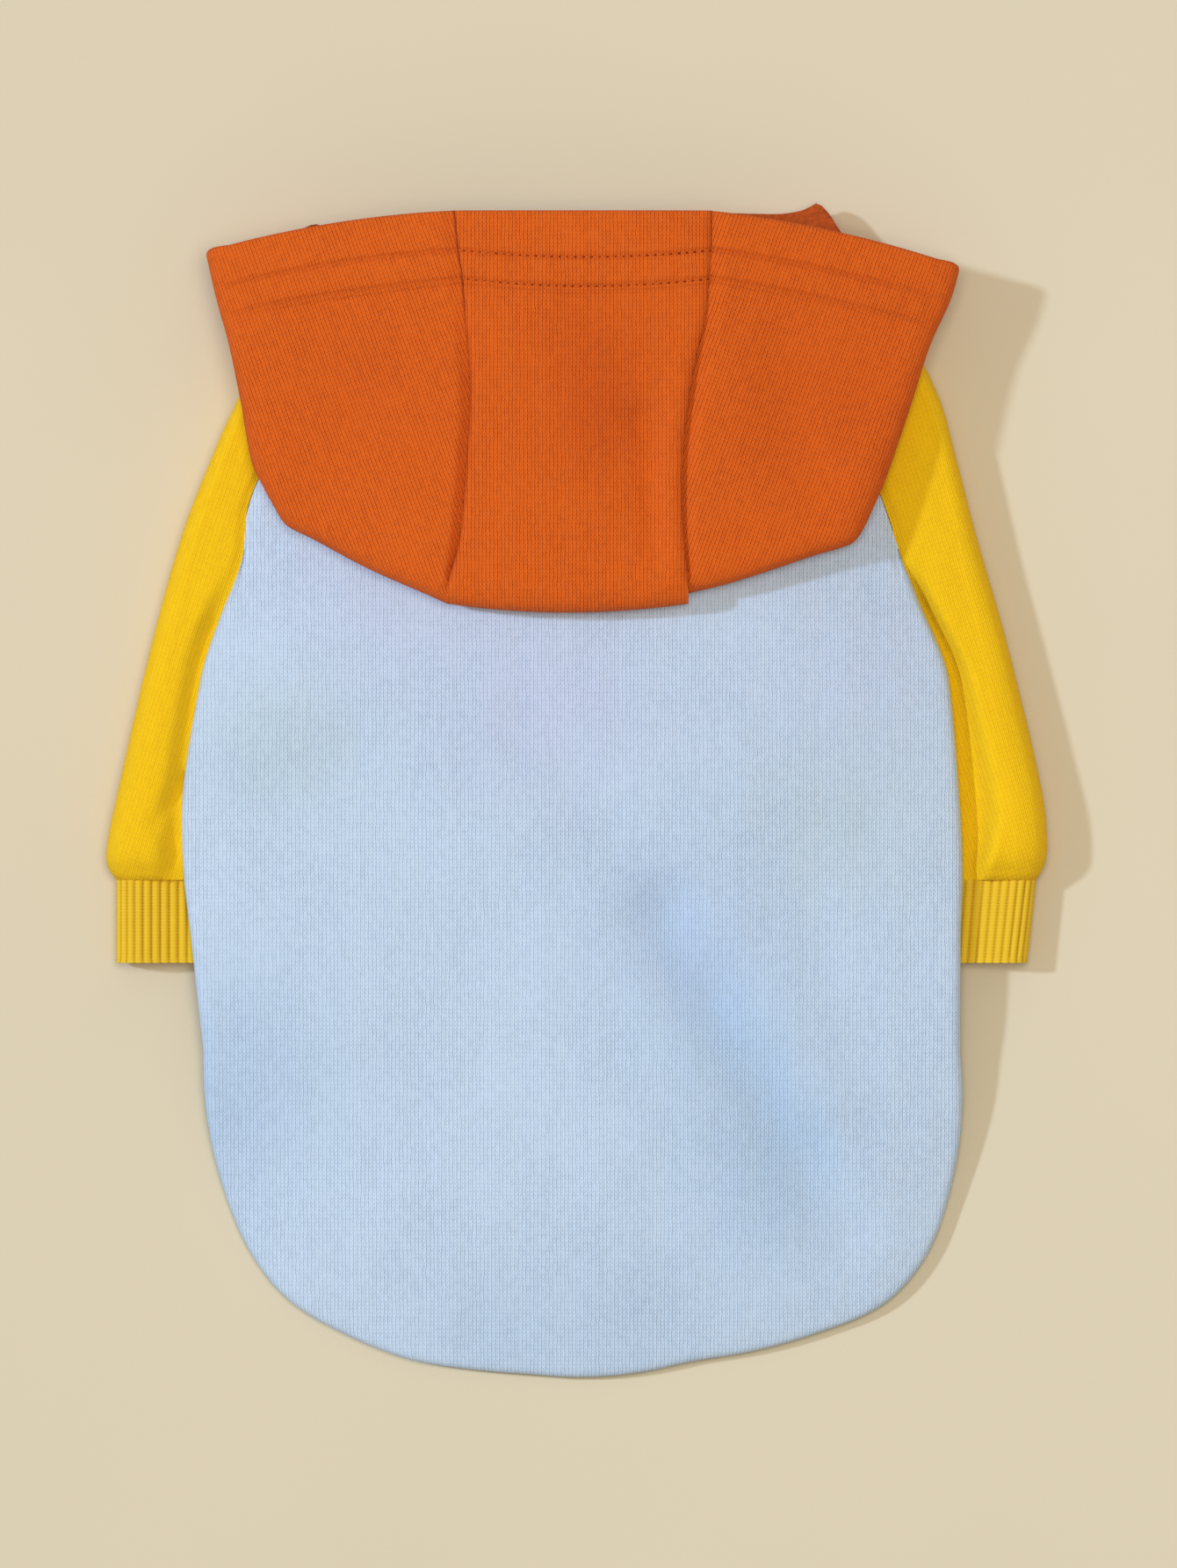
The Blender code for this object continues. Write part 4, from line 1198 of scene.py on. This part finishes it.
def hood_side_skin(side):
    table, edge_length = edge_table(side)
    tilt = -side * SIDE_GRAIN

    def skin(depth):
        points = []
        for share in HOOD_ROWS:
            foot = hood_seam(share * SEWN_SHARE[side], side) - Vector((side * SIDE_TUCKED, 0))
            edge = Vector(curve_at(table, share))
            out = (edge - foot).normalized()
            reach = (edge - foot).length - rounded(CORNER_ROUND, share * edge_length)
            radius = fold_thick(share) / 2
            flat = max(reach - radius, 0.0)
            sunk = SUNK_SIDE[0] + SUNK_SIDE[1] * past_hem(share)
            for q in TOP_STEPS:
                spot = foot + out * (flat * q) + Vector((0, rim_bow(q, share)))
                below_rim = share * (SEAM_LENGTH + (edge_length - SEAM_LENGTH) * q)
                height = hood_top(spot, q, share, hem(below_rim))
                height -= sunk * (1 - ease(flat * q / SUNK_WIDTH[side])) + hem_sheet(depth, below_rim)
                # Painted shade: darker in the crease beside the middle panel and along the rows of
                # stitches
                painted_crease_shade = CREASE_SHADE * (1 - ease(flat * q / CREASE_WIDTH))
                painted_crease_shade = max(painted_crease_shade, FURROW_SHADE * stitched(below_rim))
                points.append((*spot, height, *on_grain(spot, tilt), painted_crease_shade))
            middle = foot + out * flat
            level = bed_height(*middle) + radius
            for turn in FOLD_ANGLES:
                spot = middle + out * ((radius - depth) * math.cos(turn))
                laid = on_grain(middle + out * (radius * (math.pi / 2 - turn)), tilt)
                points.append((*spot, level + (radius - depth) * math.sin(turn), *laid, 0.0))
            seam, rise = neck_seam(share, side)
            drop = 1 - ease((share - THROAT_END) / (NAPE_START - THROAT_END))
            for step in UNDER_STEPS:
                spot = middle.lerp(seam, step)
                chin = curve_at(CHIN_RIM, step)[0 if side < 0 else 1]
                spot.y += THROAT_DEPTH * chin * (1 - ease(share / CHIN_END))
                high = bed_height(*spot)
                low = (level - radius) * (1 - ease(step / CHIN_LOW))
                low += rise * high * ease(step * 2 - 1)
                points.append((*spot, high + (low - high) * drop + depth, *on_grain(spot, tilt), 0.0))
        return points
    return skin


hood_columns = len(TOP_STEPS) + len(FOLD_ANGLES) + len(UNDER_STEPS)
hood_faces = grid(len(HOOD_ROWS), hood_columns)
for side, side_name in ((-1, "left"), (1, "right")):
    panel = sew("hood_" + side_name, CLOTH, hood_side_skin(side), facing_out(hood_faces, -side),
                orange_knit, orange_fleece)



def closer_at_seams(count):
    """Shares from 0 to 1 across the middle panel, closer together near its two seams."""
    turns = [math.cos(math.pi * share) for share in even(count)]
    return [0.5 - 0.5 * turn * abs(turn) ** SEAM_CROWDING for turn in turns]


MIDDLE_COLUMNS = closer_at_seams(84)


def hood_middle_skin(depth):
    points = []
    radius = FOLD_THICK / 2
    for across in MIDDLE_COLUMNS:
        middle = middle_spot(1.0, across)
        for share in HOOD_ROWS:
            spot = middle_spot(share, across)
            below_rim = share * SEAM_LENGTH
            from_edge = min(across, 1 - across) * (hood_seam(share, 1).x - hood_seam(share, -1).x)
            curl = (CURL_LEFT if across < 0.5 else CURL_RIGHT) * (1 - ease(from_edge / CURL_WIDTH))
            curl -= RIDGE * math.exp(-((across - RIDGE_AT) / RIDGE_WIDTH) ** 2) * past_hem(share)
            # Painted shade in the crease along each of the middle panel's seams
            painted_crease_shade = MIDDLE_CREASE * CREASE_SHADE * (1 - ease(from_edge / CREASE_WIDTH))
            hem_height = hem(max(below_rim - ROW_SAG * sag(across), 0.0))
            height = hood_top(spot, 0.0, share, hem_height) - curl - hem_sheet(depth, below_rim)
            points.append((*spot, height, *spot, painted_crease_shade))
        level = bed_height(*middle) + radius
        for turn in FOLD_ANGLES:
            spot = middle + Vector((0, -(radius - depth) * math.cos(turn)))
            points.append((*spot, level + (radius - depth) * math.sin(turn),
                           middle.x, middle.y - radius * (math.pi / 2 - turn), 0.0))
        for step in UNDER_STEPS:
            spot = Vector((middle.x, middle.y + (NECK_Y + SEAM_GAP - middle.y) * step))
            points.append((*spot, bed_height(*spot) + depth, middle.x, 2 * middle.y - spot.y, 0.0))
    return points


middle_panel = sew("hood_middle", CLOTH, hood_middle_skin,
                   grid(len(MIDDLE_COLUMNS), len(HOOD_ROWS) + len(FOLD_ANGLES) + len(UNDER_STEPS)),
                   orange_knit, orange_fleece)

# Hem stitches: two rows of orange thread that hold the turned-in rim, about twelve to the inch.
# Each stitch is a short slack loop that sinks into the cloth at both ends. Only the middle panel is
# pulled tight enough for its needle holes to show; their shade is painted as small dark balls set
# between the stitches.
# A row on a side panel runs from share to share of the way out, and sinks beside the middle panel
ROW_POINTS = 60
ROW_ENDS = (0.012, 0.977)
ROW_SUNK = 0.0008
ROW_SUNK_WIDTH = 0.0065
STITCH_PITCH = 0.0021
STITCH_LENGTH = 0.0014
STITCH_LOOSENESS = (0.8, 1.15)
STITCH_SEED = 7
SIDE_STITCH_LIFT = 0.00004
MIDDLE_STITCH_LIFT = 0.00024
HOLE_LIFT = -0.00004
THREAD_RADIUS = 0.00021
HOLE_LENGTH = 0.00072
HOLE_RADIUS = 0.00032
TWIST_NOISE = 2600.0
TWIST_RELIEF = 0.00005
TWIST_TONE = 0.6
THREAD_ORANGE = (0.760, 0.150, 0.014)
HOLE_SHADE_BROWN = (0.260, 0.028, 0.004)


def side_lines(below_rim, raised):
    """Points along one row on each side panel, raised by so much."""
    lines = []
    for side in (-1, 1):
        table, edge_length = edge_table(side)
        half = []
        for step in even(ROW_POINTS):
            q = ROW_ENDS[0] + (ROW_ENDS[1] - ROW_ENDS[0]) * step
            share = below_rim / (SEAM_LENGTH + (edge_length - SEAM_LENGTH) * q)
            foot = hood_seam(share, side)
            edge = Vector(curve_at(table, share))
            out = (edge - foot).normalized()
            flat = (edge - foot).length - fold_thick(share) / 2
            spot = foot + out * (flat * q) + Vector((0, rim_bow(q, share)))
            height = hood_top(spot, q, share, hem(below_rim))
            height -= ROW_SUNK * (1 - ease(flat * q / ROW_SUNK_WIDTH))
            half.append(Vector((*spot, height + raised)) + laid_at)
        lines.append(half)
    return lines


def middle_line(below_rim, raised, along=0.0):
    """Points along one row on the middle panel, which sags a little between the seams, raised and
    moved along the row by so much."""
    points = []
    for across in even(ROW_POINTS)[1:-1]:
        share = (below_rim + ROW_SAG * sag(across)) / SEAM_LENGTH
        spot = middle_spot(share, across)
        height = hood_top(spot, 0.0, share, hem(below_rim)) + raised
        points.append(Vector((spot.x + along, spot.y, height)) + laid_at)
    return points


def thread_material(name, thread_colour):
    """Twisted thread, a little darker between its strands."""
    material, start = new_material(name)
    place = start.node("ShaderNodeTexCoord", output=3)
    twist = place.noise(TWIST_NOISE, 2.0)
    mixed = twist.mix(toned(thread_colour, TWIST_TONE), toned(thread_colour))
    cloth_shader(material, mixed, twist, TWIST_RELIEF, sheen=0.02)
    return material


def stitching_tree(material):
    """Sets a stitch at every pitch along the lines that it is given."""
    lines = start_tree("stitching", {"Pitch": STITCH_PITCH, "Length": STITCH_LENGTH,
                                     "Thread radius": THREAD_RADIUS})
    pitch, length, radius = lines.output(1), lines.output(2), lines.output(3)
    curve = lines.node("GeometryNodeMeshToCurve", inputs={"Mesh": lines})
    spaced = lines.node("GeometryNodeCurveToPoints", {"mode": "LENGTH"},
                        {"Curve": curve, "Length": pitch})
    ball = lines.node("GeometryNodeMeshIcoSphere", inputs={"Radius": 1.0, "Subdivisions": 2})
    loop = ball.node("GeometryNodeSetShadeSmooth", inputs={"Geometry": ball})
    size = lines.node("ShaderNodeCombineXYZ", inputs={0: radius, 1: radius, 2: length * 0.5})
    loose = lines.node("FunctionNodeRandomValue", {"data_type": "FLOAT"},
                       {2: STITCH_LOOSENESS[0], 3: STITCH_LOOSENESS[1], "Seed": STITCH_SEED}, output=1)
    scale = size.node("ShaderNodeVectorMath", {"operation": "SCALE"}, {0: size, "Scale": loose})
    placed = lines.node("GeometryNodeInstanceOnPoints", inputs={
        "Points": spaced, "Instance": loop, "Rotation": spaced.output(3), "Scale": scale})
    return end_tree(placed, material)


def line_guide(name, lines):
    """An object whose loose edges follow the lines."""
    points, edges = [], []
    for line in lines:
        edges += [(len(points) + n, len(points) + n + 1) for n in range(len(line) - 1)]
        points += line
    mesh = bpy.data.meshes.new(name + "_guide")
    mesh.from_pydata(points, edges, [])
    return put_in_scene(name + "_guide", mesh)


stitch_lines, hole_lines = [], []
for row in HEM_ROWS:
    stitch_lines += side_lines(row, SIDE_STITCH_LIFT) + [middle_line(row, MIDDLE_STITCH_LIFT)]
    hole_lines.append(middle_line(row, HOLE_LIFT, STITCH_PITCH / 2))
thread = thread_material("orange_thread", THREAD_ORANGE)
# Painted shade for the needle holes: a dark material on the balls between the stitches
needle_hole = thread_material("needle_hole_shade", HOLE_SHADE_BROWN)
for name, lines, material, length, radius in (
        ("hem_stitches", stitch_lines, thread, STITCH_LENGTH, THREAD_RADIUS),
        ("painted_needle_hole_shade", hole_lines, needle_hole, HOLE_LENGTH, HOLE_RADIUS)):
    row_of_thread = made_by_nodes(name, line_guide(name, lines), stitching_tree(material),
                                  {"Pitch": STITCH_PITCH, "Length": length, "Thread radius": radius})
    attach(row_of_thread, "root")

# Table: a plain sheet of matt beige paper that the hoodie is laid on.
FLOOR_BEIGE = (0.705, 0.622, 0.458)
FLOOR_MOTTLE = 0.03
FLOOR_HALF = 3.0

paper, paper_start = new_material("beige_paper")
paper_place = paper_start.node("ShaderNodeTexCoord", output=3)
mottle = paper_place.noise(7.0, 3.0)
paper_tree = paper.node_tree
paper_colour = mottle.mix(toned(FLOOR_BEIGE, 1 - FLOOR_MOTTLE), toned(FLOOR_BEIGE, 1 + FLOOR_MOTTLE))
paper_tree.links.new(paper_colour.socket, paper_tree.nodes["Principled BSDF"].inputs["Base Color"])
paper_tree.nodes["Principled BSDF"].inputs["Roughness"].default_value = 0.9
paper_tree.nodes["Principled BSDF"].inputs["Specular IOR Level"].default_value = 0.1
floor_mesh = bpy.data.meshes.new("table")
floor_mesh.from_pydata([(-FLOOR_HALF, -FLOOR_HALF, 0), (FLOOR_HALF, -FLOOR_HALF, 0),
                        (FLOOR_HALF, FLOOR_HALF, 0), (-FLOOR_HALF, FLOOR_HALF, 0)], [], [(0, 1, 2, 3)])
floor_mesh.materials.append(paper)
floor = put_in_scene("table", floor_mesh)

# Light: a key from the left and a little above in the picture, a broad soft light overhead and an
# even fill all round. The key is a little cooler than the rest, so shadows look warm.
KEY_STRENGTH = 1.62
KEY_ANGLE = math.radians(4.0)
KEY_COLOUR = (0.64, 0.78, 1.0)
KEY_FROM = Vector((-0.97, 0.25, 0.90))
FILL = 0.40
FILL_COLOUR = (1.0, 0.93, 0.82)
OVERHEAD_POWER = 21.0
OVERHEAD_SIZE = 0.8
OVERHEAD_PLACE = Vector((0.10, 0.20, 2.2))

key_data = bpy.data.lights.new("key", "SUN")
key_data.energy = KEY_STRENGTH
key_data.angle = KEY_ANGLE
key_data.color = KEY_COLOUR
key = put_in_scene("key", key_data)
key.rotation_euler = KEY_FROM.to_track_quat("Z", "Y").to_euler()
overhead_data = bpy.data.lights.new("overhead", "AREA")
overhead_data.energy = OVERHEAD_POWER
overhead_data.size = OVERHEAD_SIZE
overhead_data.color = FILL_COLOUR
overhead = put_in_scene("overhead", overhead_data)
overhead.location = OVERHEAD_PLACE
overhead.rotation_euler = OVERHEAD_PLACE.to_track_quat("Z", "Y").to_euler()
room = bpy.data.worlds.new("room")
room.use_nodes = True
room.node_tree.nodes["Background"].inputs["Color"].default_value = toned(FILL_COLOUR)
room.node_tree.nodes["Background"].inputs["Strength"].default_value = FILL
bpy.context.scene.world = room
bpy.context.scene.view_settings.view_transform = "Standard"

# Camera: straight above the hoodie with a long lens, as the photograph was taken.
VIEW_HEIGHT = 5.0
PICTURE_LENGTH = 0.4213
PICTURE_SHIFT = Vector((0.0033, 0.0022, 0.0))

camera_data = bpy.data.cameras.new("camera")
camera_data.lens = camera_data.sensor_width * VIEW_HEIGHT / PICTURE_LENGTH
camera_data.clip_end = 20.0
camera = put_in_scene("camera", camera_data)
camera.location = laid_at + PICTURE_SHIFT + Vector((0.0, 0.0, VIEW_HEIGHT))
bpy.context.scene.camera = camera
